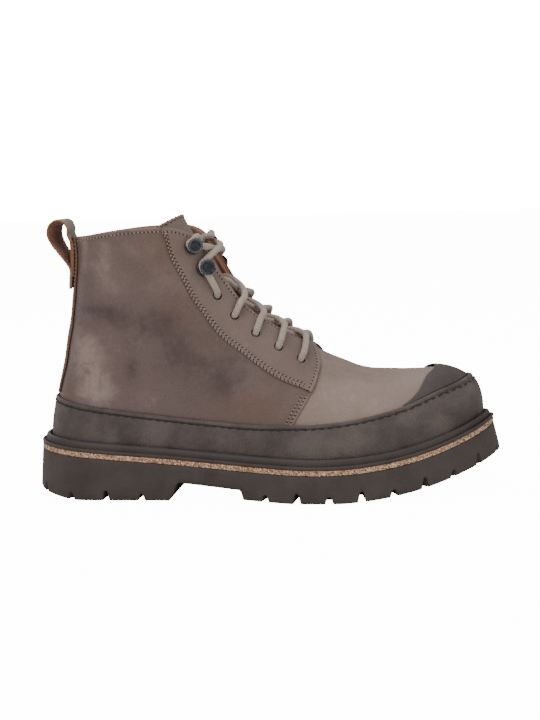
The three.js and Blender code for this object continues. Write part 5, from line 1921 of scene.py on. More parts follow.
@dataclass
class Trims:
    """The rubber rand and toe cap and the back stay, which lie on the leather."""

    finishes: Finishes
    rand_thickness: float = 1.7
    cap_thickness: float = 1.1
    stay_thickness: float = 1.2
    loop_width: float = 24
    rand_row: float = 3.0
    stay_row: float = 1.8

    def build(self) -> None:
        """Makes the three and sews the rand and the back stay on."""
        self.build_rand()
        self.build_cap()
        self.build_stay()

    def build_rand(self) -> None:
        """Makes the rand with its sewn edge."""
        f = self.finishes

        def under(way: np.ndarray, climb: np.ndarray) -> np.ndarray:
            """How far out the rand's inside is, over the vamp and over the quarters."""
            return LAST.gap + LAST.quarter_step * smoothstep(np.abs(way), 0.32, 0.44)

        def lip(down: np.ndarray) -> np.ndarray:
            """The rand's raised lip and the groove of its sewn row, by the way down from its edge."""
            raised = 0.28 * np.exp(-(((down - 1.5) / 0.8) ** 2))
            return raised - 0.5 * np.exp(-(((down - self.rand_row) / 0.42) ** 2))

        rand = Panel(
            "rubber_rand", steady(-1.0), steady(1.0), steady(0.012), LAST.rand_top, LAST.gap + LAST.quarter_step,
            self.rand_thickness, pitch=1.6, edges=(False, False, False, True), under_at=under, folds=0.25,
            profile=lip, rows_at=(0.9, 1.3, 1.7, 2.1, 2.5, 2.8, 3.0, 3.2, 3.5, 3.9),
        )
        way = np.concatenate([np.linspace(-0.9995, -0.002, 420), np.linspace(0.002, 0.9995, 420)])
        row = Seam(
            np.stack([way, LAST.rand_top(way, -self.rand_row)], axis=1), 0.0, pitch=5.4, length=4.6, thread=0.6,
            sink=0.3, sink_width=0.9, zigzag=0.13,
        )
        placed(rand.build(UPPER, (f.rand, f.rand)), "rand_rubber", "rand")
        base = LAST.point(row.line[:, 0], row.line[:, 1])
        normal = LAST.normal(row.line[:, 0], row.line[:, 1])
        out = rand.under + self.rand_thickness - row.sink + 0.25 * UPPER.relief(base)
        store = MeshStore("rand_stitches")
        row.add_to(store, base + normal * out[:, None], normal)
        placed(store.build((f.dark_thread, f.hole), weld=0.0), "rand_rubber")

    def build_cap(self) -> None:
        """Makes the toe cap."""
        f = self.finishes

        def foot(way: np.ndarray) -> np.ndarray:
            """The climb of the cap's lower edge."""
            return LAST.rand_top(way, 0.25)

        def rear(way: np.ndarray) -> np.ndarray:
            """The climb of the cap's rear edge."""
            low = LAST.rand_top(way, 0.6)
            share = np.where(way > 0, CAP_FAR_EDGE(np.abs(way)), CAP_EDGE(np.abs(way)))
            return low + (1 - low) * share / 100

        def wing(way: np.ndarray, climb: np.ndarray) -> np.ndarray:
            """How far the cap's rear edge stands off on the inner side."""
            near_edge = smoothstep(climb / np.maximum(rear(way), 0.05), 0.7, 1.0)
            return 0.9 * smoothstep(way, 0.0, 0.05) * near_edge

        cap = Panel(
            "toe_cap_shell", steady(-CAP_TURN), steady(CAP_TURN), foot, rear, LAST.gap, self.cap_thickness,
            pitch=1.3, edges=(True, True, False, True), lift_at=wing,
        )
        placed(cap.build(UPPER, (f.cap, f.cap)), "toe_cap_rubber", "toe_cap")

    def build_stay(self) -> None:
        """Makes the back stay and its two rows of stitches."""
        f = self.finishes
        low = float(LAST.rand_top(np.array(1.0), 0.6)) + 0.004
        under = LAST.quarter_step + LAST.gap

        def turn(t: np.ndarray) -> np.ndarray:
            """The turn of the stay's edge at a share of its height."""
            climb = low + (1 - low) * np.asarray(t, float)
            return back_turn(STAY_EDGE(climb) * self.loop_width / 100, climb)

        stay = Panel(
            "back_strip", turn, lambda t: 2 - turn(t), steady(low), steady(1.0), under, self.stay_thickness,
            pitch=1.1,
        )
        climb = np.linspace(low + 0.01, 0.985, 90)
        rows = []
        for side in (-1, 1):
            half = STAY_EDGE(climb) * self.loop_width / 100 - self.stay_row
            line = np.stack([side * back_turn(half, climb, side), climb], axis=1)
            rows.append(Seam(line, under + self.stay_thickness, slant=0.5 * side))
        placed(stay.build(UPPER, (f.stay, f.flesh), rows, TONE_PATCHES_AND_PAINTED_LIGHT), "leather", "back_stay")
        sew("stay_stitches", rows, f)


class Sheet:
    """A strip of leather of even thickness, laid through a grid of points on its first face."""

    def __init__(self, grid: np.ndarray, thickness: float, edges: tuple[bool, bool, bool, bool]) -> None:
        """Works out its two faces.

        Args:
            grid: its points, in columns along it.
            thickness: its thickness, against the grid's normals.
            edges: whether its first and last column and its first and last row are round edges.
        """
        self.grid = grid
        self.normals = unit(np.cross(np.gradient(grid, axis=0), np.gradient(grid, axis=1)))
        across = run_lengths(grid.swapaxes(0, 1)).T
        along = run_lengths(grid)
        self.away, self.uv = edge_gap(edges, across, along), np.stack([across, along], axis=-1)
        curl = edge_curl(self.away, thickness)
        self.first = grid - self.normals * (thickness * 0.5 * (1 - curl))[..., None]
        self.second = grid - self.normals * (thickness * (0.5 + 0.5 * curl))[..., None]

    def build(self, name: str, materials: Sequence[bpy.types.Material]) -> bpy.types.Object:
        """Makes the strip.

        Args:
            name: its name.
            materials: its materials, for the first face and the second.

        Returns:
            The strip.
        """
        store = MeshStore(name)
        values = {"edge": self.away, "tone": np.zeros(self.away.shape)}
        store.add_grid(self.first, self.uv, False, Face.GRAIN.value, values=values)
        store.add_grid(self.second, self.uv, True, Face.FLESH.value, values=values)
        for k, turned in ((0, True), (-1, False)):
            rims = (
                (self.first[:, k], self.second[:, k], self.uv[:, k], turned),
                (self.first[k], self.second[k], self.uv[k], not turned),
            )
            for above, below, lengths, over in rims:
                if np.abs(above - below).max() > TOUCHING:
                    store.add_grid(np.stack([above, below], axis=1), np.stack([lengths] * 2, axis=1), over)
        return store.build(materials)

    def row_line(self, share_from: tuple[float, float], share_to: tuple[float, float], count: int = 80) -> tuple:
        """Traces a straight line over the grid.

        Args:
            share_from: its start, as shares of the columns and rows.
            share_to: its end.
            count: how many points it has.

        Returns:
            The line's points and normals.
        """
        t = np.linspace(0, 1, count)
        i = (share_from[0] + (share_to[0] - share_from[0]) * t) * (self.grid.shape[0] - 1)
        j = (share_from[1] + (share_to[1] - share_from[1]) * t) * (self.grid.shape[1] - 1)
        a, b = i.astype(int).clip(0, self.grid.shape[0] - 2), j.astype(int).clip(0, self.grid.shape[1] - 2)
        u, v = (i - a)[:, None], (j - b)[:, None]

        def blend(field_: np.ndarray) -> np.ndarray:
            """The grid's values between its points."""
            low = field_[a, b] * (1 - v) + field_[a, b + 1] * v
            high = field_[a + 1, b] * (1 - v) + field_[a + 1, b + 1] * v
            return low * (1 - u) + high * u

        return blend(self.grid), unit(blend(self.normals))


@dataclass
class Tongue:
    """The tongue: under the throat it lies below the quarters, and over the collar it stands free."""

    finishes: Finishes
    thickness: float = 2.2
    depth: float = 5.4
    seat: float = 0.6
    crown: float = 0.3
    # turn, lap under the quarters in % of the facing width, depth under them in % of the depth
    under: tuple = (
        (0.39, 42, 0), (0.42, 42, 0), (0.45, 42, 45), (0.478, 42, 100), (0.516, 40, 100), (0.557, 40, 100),
        (0.598, 40, 100), (0.635, 42, 100), (0.667, 45, 100),
    )
    # middle (x, z) and ends (x, z) in % of the upper's length and the shaft height, half width in % of the ball's
    free: tuple = ((35.4, 91.8, 30.0, 88.0, 21.0), (33.4, 98.2, 28.2, 93.0, 22.0), (32.2, 102.6, 26.6, 97.2, 22.5))

    def under_knots(self, turn: float, lap: float, depth: float) -> np.ndarray:
        """Places a section's knots under the throat.

        Args:
            turn: where the section is.
            lap: how far it runs on under the quarters.
            depth: how deep under them it is.

        Returns:
            The knots, from the lateral edge to the medial.
        """
        out = -(LAST.wall + self.seat + (self.depth - self.seat) * depth / 100)
        edge, shoulder = [], []
        for side in (-1, 1):
            climb = eyelet_climb(turn, lap, side)
            edge.append(UPPER.plain(side * turn, climb, out))
            shoulder.append(UPPER.plain(side * turn, 1.0, out))
        normal = throat_normal(turn)
        wide = float(np.linalg.norm(shoulder[0] - shoulder[1]))
        middle = (shoulder[0] + shoulder[1]) / 2 + normal * self.crown * wide / 2
        if wide < 1:
            return np.array([edge[0], middle, edge[1]])
        return np.array([edge[0], shoulder[0], middle, shoulder[1], edge[1]])

    def free_knots(self, x: float, z: float, edge_x: float, edge_z: float, half: float) -> np.ndarray:
        """Places a free section's knots.

        Args:
            x: its middle, along the boot.
            z: its middle's height.
            edge_x: its ends, along the boot.
            edge_z: their height.
            half: its half width.

        Returns:
            The knots, from the lateral edge to the medial.
        """
        base = float(LAST.feather_z(LAST.along(x)))

        def knot(px: float, pz: float, share: float) -> list[float]:
            """A knot at shares of the boot's length and height and of the half width."""
            y = share * half / 100 * LAST.ball_width
            return [float(LAST.along(px)), y, base + pz / 100 * LAST.shaft_height]

        near_x, near_z = x + (edge_x - x) * 0.35, z + (edge_z - z) * 0.35
        return np.array([
            knot(edge_x, edge_z, -1), knot(near_x, near_z, -0.72), knot(x, z, 0), knot(near_x, near_z, 0.72),
            knot(edge_x, edge_z, 1),
        ])

    def build(self) -> None:
        """Makes the tongue and sews its edge."""
        sections = [self.under_knots(*row) for row in self.under] + [self.free_knots(*row) for row in self.free]
        shares = spaced(1.0, 0.028, 0.03, True, True, 0)
        across = []
        for knots in sections:
            curve = flowing_curve(knots, 40)
            across.append(resample(curve, shares * run_lengths(curve)[-1]))
        columns = []
        for i in range(len(shares)):
            curve = flowing_curve(np.array([line[i] for line in across]), 16)
            length = run_lengths(curve)[-1]
            columns.append(resample(curve, spaced(length, 1.7, self.thickness, False, True, 96)))
        sheet = Sheet(np.array(columns), self.thickness, (True, True, False, True))
        f = self.finishes
        placed(sheet.build("tongue_leather", (f.tongue, f.lining)), "tongue_leather", "tongue")
        store = MeshStore("tongue_stitches")
        rows = (((0.05, 0.55), (0.05, 0.975)), ((0.05, 0.975), (0.95, 0.975)), ((0.95, 0.975), (0.95, 0.55)))
        for start, end in rows:
            line, normals = sheet.row_line(start, end)
            Seam(np.zeros((0, 2)), 0, pitch=1.9, length=2.3, thread=0.45, zigzag=0.62).add_to(store, line, normals)
        placed(store.build((f.thread, f.hole), weld=0.0), "tongue_leather")


@dataclass
class PullLoop:
    """The strap at the heel: up the back stay, over backwards and down on to itself."""

    finishes: Finishes
    width: float = 24
    thickness: float = 2
    height: float = 12
    depth: float = 13
    tail: float = 34
    stay_thickness: float = 1.2
    tilt: float = 0.3
    leg: tuple = (76, 35, 12)
    lap: tuple = (65, 79, 100)
    free: tuple = ((-20, 14), (-20, 52), (4, 90), (46, 100), (86, 74), (100, 20), (78, -40), (36, -100))

    def seat(self, drop: float, y: float, out: float) -> np.ndarray:
        """Finds a point against the back of the boot.

        Args:
            drop: how far below the collar, in % of the tail.
            y: how far from the middle.
            out: how far out from the last.

        Returns:
            The point.
        """
        z = LAST.point(1.0, 1.0)[2] - drop / 100 * self.tail
        climb = LAST.climb_at_height(np.array(1.0), np.array(z))
        side = -1 if y < 0 else 1
        turn = back_turn(np.array(abs(y)), climb, side, out)
        point = UPPER.plain(side * turn, climb, out)
        return np.array([point[0], y, z])

    def build(self) -> None:
        """Makes the loop and sews its tail."""
        collar = LAST.point(1.0, 1.0)
        leg_out = LAST.quarter_step + LAST.gap + self.stay_thickness + 0.15
        lap_out = leg_out + self.thickness + 0.8
        bow_out = leg_out + self.thickness + 0.15
        lines = []
        for y in spaced(self.width, 1.2, self.thickness, True, True, 0) - self.width / 2:
            reach = self.depth * (1 - self.tilt * (0.5 + y / self.width))
            bow = [
                [collar[0] - bow_out - back / 100 * reach, y, collar[2] + up / 100 * self.height]
                for back, up in self.free
            ]
            knots = [self.seat(d, y, leg_out) for d in self.leg] + bow + [self.seat(d, y, lap_out) for d in self.lap]
            curve = flowing_curve(np.array(knots), 16)
            length = run_lengths(curve)[-1]
            lines.append(resample(curve, spaced(length, 1.1, self.thickness, True, True, 110)))
        sheet = Sheet(np.array(lines), self.thickness, (True, True, True, True))
        f = self.finishes
        placed(sheet.build("heel_loop", (f.loop, f.loop_flesh)), "loop_leather", "pull_loop")
        store = MeshStore("loop_stitches")
        outside = Sheet(sheet.second, self.thickness, (True, True, True, True))
        outside.normals = -sheet.normals
        rows = (((0.12, 0.965), (0.88, 0.965)), ((0.12, 0.79), (0.12, 0.965)), ((0.88, 0.965), (0.88, 0.79)))
        for start, end in rows:
            line, normals = outside.row_line(start, end)
            Seam(np.zeros((0, 2)), 0, sink=0).add_to(store, line - normals * 0.05, normals)
        placed(store.build((f.thread, f.hole), weld=0.0), "loop_leather")


def hole_place(index: int, side: int, share: float, out: float, turn: float | None = None) -> np.ndarray:
    """Finds a point by an eyelet.

    Args:
        index: which eyelet, from the foot of the throat.
        side: the sign of its side.
        share: how far back from the throat's edge, 1 being the hole.
        out: how far out from the last.
        turn: where round the boot, or the eyelet's own place.

    Returns:
        The point.
    """
    own, back, edge = EYELETS[index]
    at = edge + (own - edge) * share if turn is None else turn
    return UPPER.plain(side * at, eyelet_climb(at, back * share, side), out)


def throat_normal(turn: float) -> np.ndarray:
    """The outward direction in the middle of the throat."""
    return unit(LAST.normal(-turn, 1.0) + LAST.normal(turn, 1.0))


def throat_middle(turn: float, lift: float) -> np.ndarray:
    """The middle of the throat at a turn, lifted off the tongue."""
    return (LAST.point(-turn, 1.0) + LAST.point(turn, 1.0)) / 2 + throat_normal(turn) * lift


@dataclass
class HookFrame:
    """Where a hook stands and its directions: out of the boot, to the throat and up."""

    name: str
    side: Side
    foot: np.ndarray = field(init=False)
    axis: np.ndarray = field(init=False)
    front: np.ndarray = field(init=False)
    up: np.ndarray = field(init=False)
    out: float = 3.3

    def __post_init__(self) -> None:
        """Works out the place and the directions."""
        turn, back = HOOKS[self.name]
        sign = self.side.value
        climb = eyelet_climb(turn, back, sign)
        self.axis = LAST.normal(sign * turn, climb)
        self.foot = UPPER.plain(sign * turn, climb, self.out)
        front = LAST.point(sign * turn, 1.0) - LAST.point(sign * turn, climb)
        self.front = unit(front - self.axis * np.dot(front, self.axis))
        up = np.cross(self.axis, self.front) * sign
        self.up = up if up[2] >= 0 else -up

    def ring(self, reach: float, height: float, angles: Sequence[float]) -> list[np.ndarray]:
        """Finds points round the hook's post.

        Args:
            reach: how far from its axis.
            height: how far up it.
            angles: where, in degrees up from the throat.

        Returns:
            The points.
        """
        turns = [math.radians(a) for a in angles]
        centre = self.foot + self.axis * height
        return [centre + self.front * reach * math.cos(a) + self.up * reach * math.sin(a) for a in turns]


@dataclass
class Lacing:
    """The lace and the hooks that it goes round."""

    finishes: Finishes
    diameter: float = 4.2
    over_facing: float = 2.4
    under_lift: float = 1.4
    inside: float = -4.9
    mouth: float = -3.0
    throat: float = 5.0
    post: float = 1.7
    base: float = 1.1

    @property
    def rest(self) -> float:
        """How far out the lace lies on a facing."""
        return self.over_facing + self.diameter / 2 + 0.45

    def crossing(self, index: int, side: int) -> list[np.ndarray]:
        """Runs the lace out of a hole and over the tongue to the next hole on the far side.

        Args:
            index: the hole that it comes out of.
            side: the sign of that hole's side.

        Returns:
            The lace's knots.
        """
        over = self.under_lift + self.diameter - 1
        lift = over if side < 0 else self.under_lift
        middle = (EYELETS[index][2] + EYELETS[index + 1][0]) / 2
        knots = [hole_place(index, side, 1.0, 1.2), hole_place(index, side, 0.86, self.rest - 0.1)]
        knots += [hole_place(index, side, s, self.rest + 0.7 * (1 - s)) for s in (0.6, 0.3, 0.0)]
        far = UPPER.plain(-side * EYELETS[index + 1][0], 1.0, -self.diameter * 0.1)
        dive = far + (throat_middle(EYELETS[index + 1][0], 0.0) - far) * 0.4
        return [*knots, throat_middle(middle, lift), dive]

    def strand(self, side: int) -> np.ndarray:
        """Runs one end of the lace from the foot of the throat to the top hook.

        Args:
            side: the sign of the side on which it starts.

        Returns:
            The lace's knots.
        """
        inside = self.inside
        knots = [hole_place(0, side, 0.25, inside), hole_place(0, side, 0.75, inside)]
        knots.append(hole_place(0, side, 0.99, self.mouth))
        here = side
        for index in range(4):
            knots += self.crossing(index, here)
            here = -here
            knots += [hole_place(index + 1, here, 0.3, inside + 0.2), hole_place(index + 1, here, 0.78, inside)]
            knots.append(hole_place(index + 1, here, 0.98, self.mouth))
        word = Side.LATERAL if here < 0 else Side.MEDIAL
        far = Side.MEDIAL if here < 0 else Side.LATERAL
        lower, upper = HookFrame("lower", word), HookFrame("upper", far)
        reach = self.post + self.diameter / 2 - 0.75
        height = self.base + self.throat - self.diameter / 2 - 0.15
        lift = 2 * self.under_lift + (self.diameter - 0.2 if here < 0 else -0.2)
        turn_low, turn_up = HOOKS["lower"][0], HOOKS["upper"][0]
        top = self.rest + 1
        knots += [hole_place(4, here, 1.0, 1.0), hole_place(4, here, 0.98, self.rest, EYELETS[4][0] + 0.004)]
        knots += lower.ring(reach - 0.6, height, (200, 160, 118)) + lower.ring(reach + 0.5, height, (76,))
        knots.append(UPPER.plain(here * (turn_low + 0.002), 1.0, top))
        knots.append(throat_middle(turn_low * 0.75 + turn_up * 0.25, lift))
        knots.append(UPPER.plain(-here * (turn_up - 0.022), 1.0, top))
        knots += upper.ring(reach - 0.6, height, (-65, -120, 180, 125)) + upper.ring(reach + 0.7, height, (78, 36))
        knots += upper.ring(reach + 3.4, height, (4,))
        edge = -here * (turn_up - 0.006)
        inward = unit(throat_middle(turn_up, 0.0) - UPPER.plain(edge, 1.0, 0.0))
        for aside, out in ((0.8, self.rest - 0.3), (3.4, 1.8), (3.2, -2.6)):
            knots.append(UPPER.plain(edge, 1.0, out) + inward * aside)
        knots.append(UPPER.plain(edge, float(LAST.climb_from_top(edge, 3.0)), self.inside - 0.5))
        knots.append(UPPER.plain(edge, float(LAST.climb_from_top(edge, 10.0)), self.inside - 0.3))
        return np.array(knots)

    def build(self) -> None:
        """Makes the lace's two strands and the hooks."""
        f = self.finishes
        nodes = [f"lace_crossing_{i}" for i in range(1, 5)] + ["lace_hook_crossing"]
        for number, side in ((1, -1), (2, 1)):
            curve = flowing_curve(self.strand(side), 14)
            length = run_lengths(curve)[-1]
            path = resample(curve, np.linspace(0, length, int(length / 0.7)))
            store = MeshStore(f"lace_strand_{number}")
            add_cord(store, path, self.diameter / 2, 18)
            placed(store.build((f.lace,)), "lace_cord", *nodes)
        for side in Side:
            for name in HOOKS:
                self.build_hook(HookFrame(name, side))

    def build_hook(self, where: HookFrame) -> None:
        """Makes a hook: a base, a post, and a cap with a rim round a shallow dish.

        Args:
            where: where it stands.
        """
        rise = self.base + self.throat
        profile = np.array([
            (0, -0.9), (5.0, -0.9), (5.2, -0.4), (5.2, 0.5), (5.05, 0.85), (4.6, 1.05), (4.2, 1.1), (2.6, 1.15),
            (2.0, 1.45), (1.75, 2.1), (1.7, 3.0), (1.7, rise - 1.2), (1.9, rise - 0.55), (2.5, rise - 0.12),
            (3.4, rise), (4.3, rise + 0.02), (4.7, rise + 0.2), (4.9, rise + 0.6), (4.9, rise + 1.2),
            (4.78, rise + 1.6), (4.5, rise + 1.86), (4.1, rise + 1.98), (3.7, rise + 1.9), (3.35, rise + 1.62),
            (3.0, rise + 1.42), (2.2, rise + 1.34), (0.0, rise + 1.3),
        ])
        rim = np.full(len(profile), UNWORN)
        rim[18:24] = (0.5, 0.2, 0.0, 0.0, 0.2, 0.6)
        rim[3:6] = (0.5, 0.1, 0.4)
        sides = 48
        angle = circle(sides)
        flat = np.cos(angle)[:, None] * where.front + np.sin(angle)[:, None] * np.cross(where.axis, where.front)
        points = where.foot + profile[:, None, :1] * flat[None] + profile[:, None, 1:] * where.axis
        store = MeshStore(f"spool_{where.side.word}_{where.name}")
        uv = np.stack(np.broadcast_arrays(profile[:, 1:], angle[None] * 4.9), axis=-1)
        store.add_grid(points, uv, flip=True, around=True, values={"edge": np.repeat(rim[:, None], sides, 1)})
        node = f"hook_{where.side.word}_{where.name}"
        placed(store.build((self.finishes.metal,)), "hook_metal", node)


# The sole


class Ring:
    """The edge of the sole, all the way round, from the toe by the lateral side."""

    def __init__(self, columns: int = 360) -> None:
        """Spaces places evenly round the edge.

        Args:
            columns: how many places, an even number.
        """
        dense = np.linspace(0, 1, 1201)
        half = columns // 2
        lat = self.even(-dense, half)
        med = self.even(dense, half)
        self.way = np.concatenate([lat, med[1:-1][::-1]])
        self.foot, self.out = LAST.feather(self.way), LAST.outward(self.way)
        self.columns = len(self.way)

    @staticmethod
    def even(way: np.ndarray, count: int) -> np.ndarray:
        """Picks evenly spaced places.

        Args:
            way: closely spaced places.
            count: how many steps.

        Returns:
            The places.
        """
        edge = LAST.feather(way) + LAST.outward(way) * LAST.margin
        gone = run_lengths(edge)
        return np.interp(np.linspace(0, gone[-1], count + 1), gone, way)

    def level(self, margin: float, height: Curve, lean: Curve | None = None) -> np.ndarray:
        """Draws the edge at a margin.

        Args:
            margin: how far outside the feather line.
            height: the height at each place along the boot.
            lean: how far each point is moved to the toe.

        Returns:
            The points.
        """
        points = self.foot + self.out * margin
        x = points[:, 0].copy()
        points[:, 2] = height(x)
        if lean is not None:
            points[:, 0] += lean(x)
        return points

    def plate(self, name: str, levels: Sequence[np.ndarray], material: bpy.types.Material) -> bpy.types.Object:
        """Closes levels into a plate.

        Args:
            name: its name.
            levels: its edge lines from the top to the bottom.
            material: its material.

        Returns:
            The plate.
        """
        store = MeshStore(name)
        grid = np.stack(levels)
        down = run_lengths(grid.swapaxes(0, 1)).T
        round_ = run_lengths(grid[0][None])[0]
        uv = np.stack(np.broadcast_arrays(down, round_[None]), axis=-1)
        values = {"edge": np.full(down.shape, UNWORN)}
        store.add_grid(grid, uv, flip=True, around=True, values=values)
        half = self.columns // 2
        i = np.arange(half)
        quads = np.stack([i, i + 1, (-i - 1) % self.columns, (-i) % self.columns], axis=1)
        quads[0, 3], quads[-1, 2] = self.columns, self.columns + 1
        for line, order in ((grid[0], quads[:, ::-1]), (grid[-1], quads)):
            points = np.concatenate([line, line[:1], line[half:half + 1]])
            store.add_faces(points, order, points[order][..., :2], values={"edge": np.full(len(points), UNWORN)})
        return store.build((material,))


# Where along the boot the tread starts to follow the toe, and where and how far the heel's back is lifted
TOE_TREAD_X = 72
HEEL_BEVEL_X = -12
HEEL_LIFT = 5.5


def tread_z(x: np.ndarray) -> np.ndarray:
    """Works out the height of the tread: level, lifted at the toe and a little at the back of the heel.

    Args:
        x: places along the boot.

    Returns:
        Heights over the floor.
    """
    x = np.asarray(x, float)
    toe = np.maximum(0, LAST.cork_top(x) - LAST.ball_sole)
    end = float(LAST.along(0)) - LAST.margin
    back = np.maximum(0, (HEEL_BEVEL_X - x) / (HEEL_BEVEL_X - end))
    return np.where(x > TOE_TREAD_X, toe, HEEL_LIFT * back**1.5)


@dataclass
class Sole:
    """Outsole, cork midsole and welt."""

    finishes: Finishes
    cork: float = 3.3
    flare: float = 1.2
    chamfer: float = 1.0
    arch: float = 15
    breast_x: float = 47
    fore_x: float = 97.5
    notch_pitch: float = 20.5
    heel_pitch: float = 23.5
    deep: float = 6.6
    shallow: float = 4.6
    notch_width: float = 5.2
    reach: float = 24
    rand: float = 1.7
    bead_width: float = 3.2
    bead_rise: float = 4.2
    groove: float = 1.2
    channel_depth: float = 2.6
    channels: tuple = ((-6, 18), (12, 20), (30, 20), (116, 27), (136, 30), (156, 31), (176, 30), (196, 27), (216, 20))

    def build(self) -> None:
        """Makes every piece of the sole."""
        ring = Ring()
        self.build_outsole(ring)
        self.build_cork(Ring(900))
        self.build_welt(ring)

    def build_outsole(self, ring: Ring) -> None:
        """Makes the outsole and cuts the arch, the notches and the tread.

        Args:
            ring: the edge of the sole.
        """
        def top(x: np.ndarray) -> np.ndarray:
            """The height of the outsole's top."""
            return LAST.cork_top(x) - self.cork - LAST.gap

        def lean(share: float) -> Curve:
            """How far the wall leans to the toe at a share of its depth."""
            def moved(x: np.ndarray) -> np.ndarray:
                """The lean at a place along the boot."""
                slope = (LAST.cork_top(x + 1) - LAST.cork_top(x - 1)) / 2
                return share * 0.3 * slope * (top(x) - tread_z(x))
            return moved

        def between(share: float) -> Curve:
            """The height at a share of the wall's depth."""
            return lambda x: top(x) + (tread_z(x) + self.chamfer - top(x)) * share

        levels = [ring.level(LAST.margin - 0.35, top), ring.level(LAST.margin - 0.08, lambda x: top(x) - 0.12)]
        levels.append(ring.level(LAST.margin, lambda x: top(x) - 0.45))
        for share in (0.15, 0.35, 0.55, 0.75, 0.9, 1.0):
            levels.append(ring.level(LAST.margin + self.flare * share, between(share), lean(share)))
        levels.append(ring.level(LAST.margin + self.flare - 0.3, lambda x: tread_z(x) + 0.3, lean(1)))
        levels.append(ring.level(LAST.margin + self.flare - self.chamfer, tread_z, lean(1)))
        piece = ring.plate("tread_block", levels, self.finishes.outsole)
        cut(piece, self.arch_cutter())
        for side in Side:
            cut(piece, self.notch_cutter(side.value))
        placed(piece, "outsole_rubber", "outsole")

    @staticmethod
    def prism(store: MeshStore, corners: Sequence[tuple[float, float]], ends: np.ndarray, axes: np.ndarray) -> None:
        """Adds a prism to a cutter.

        Args:
            store: the cutter's mesh.
            corners: its section, across and up.
            ends: the points at which it starts and stops.
            axes: the directions across and up.
        """
        section = np.array(corners) @ axes
        add_bar(store, ends, section, section.mean(0))

    def arch_cutter(self) -> bpy.types.Object:
        """Makes the cutter for the arch between heel block and forepart."""
        front, back = (float(LAST.cork_top(np.array(x))) - self.arch for x in (self.fore_x, self.breast_x))
        corners = [
            (self.breast_x - 2, -5), (self.breast_x + 5.2, back - 1.2), (self.breast_x + 6.4, back),
            (self.fore_x - 3.4, front), (self.fore_x - 2.3, front - 1.1), (self.fore_x + 1, -5),
        ]
        store = MeshStore("arch_cutter")
        axes = np.array([[1.0, 0, 0], [0, 0, 1.0]])
        wide = float(LAST.ball_width)
        self.prism(store, corners, np.array([[0, -wide, 0], [0, wide, 0]]), axes)
        for x, reach in self.channels:
            z = float(tread_z(np.array(x))) + self.channel_depth
            corners = [(x - 2.6, -5), (x - 1.4, z), (x + 1.4, z), (x + 2.6, -5)]
            middle = (float(LAST.feather(np.array(-0.3))[1]) + float(LAST.feather(np.array(0.3))[1])) / 2
            ends = np.array([[0, -reach, 0], [0, reach, 0]]) + np.array([0, middle if x > 80 else 0.0, 0])
            self.prism(store, corners, ends, axes)
        return store.build(())

    def notch_cutter(self, side: int) -> bpy.types.Object:
        """Makes the cutter for one side's notches, deep and shallow in turn.

        Args:
            side: the sign of the side.

        Returns:
            The cutter.
        """
        store = MeshStore("notch_cutter")
        dense = np.linspace(0, 1, 2001)
        edge = LAST.feather(side * dense) + LAST.outward(side * dense) * LAST.margin
        gone = run_lengths(edge * np.array([1, 1, 0]))
        start = np.interp(-(self.fore_x + 13.5), -edge[:, 0], gone)
        back = np.interp(-(self.breast_x - 18), -edge[:, 0], gone)
        places = [*enumerate(np.arange(start, 0.014 * gone[-1], -self.notch_pitch))]
        places += [*enumerate(np.arange(back, 0.985 * gone[-1], self.heel_pitch))]
        for number, way in places:
            self.add_notch(store, side * float(np.interp(way, gone, dense)), number % 2 == 1)
        return store.build(())

    def add_notch(self, store: MeshStore, way: float, is_deep: bool) -> None:
        """Adds one notch's cutter.

        Args:
            store: the cutter's mesh.
            way: where on the edge of the sole.
            is_deep: whether it is one of the deep ones.
        """
        height = self.deep if is_deep else self.shallow
        reach = self.reach if is_deep else self.reach * 0.6
        half = self.notch_width / 2
        corners = [
            (-half - 1, -12), (-half, 0), (-1.3, height - 0.8), (-0.6, height), (0.6, height), (1.3, height - 0.8),
            (half, 0), (half + 1, -12),
        ]
        out = LAST.outward(np.array(way))
        edge = LAST.feather(np.array(way)) + out * LAST.margin
        centre = np.array([edge[0], edge[1], float(tread_z(edge[0]))])
        across = np.array([out[1], -out[0], 0.0])
        self.prism(store, corners, np.array([centre - out * reach, centre + out * 12]), np.array([across, [0, 0, 1.0]]))

    def build_cork(self, ring: Ring) -> None:
        """Makes the cork with its crumbly edge.

        Args:
            ring: the edge of the sole, closely spaced.
        """
        rng = np.random.default_rng(7)
        levels = []
        shares = np.linspace(0, 1, 9)
        for share in shares:
            inset = 0.25 + 0.25 * float(abs(2 * share - 1) ** 4)
            line = ring.level(LAST.margin - inset, lambda x, s=share: LAST.cork_top(x) - self.cork * s)
            if 0 < share < 1:
                line = line + ring.out * rng.normal(0, 0.13, (ring.columns, 1))
            levels.append(line)
        placed(ring.plate("cork_band", levels, self.finishes.cork), "cork", "cork_midsole")

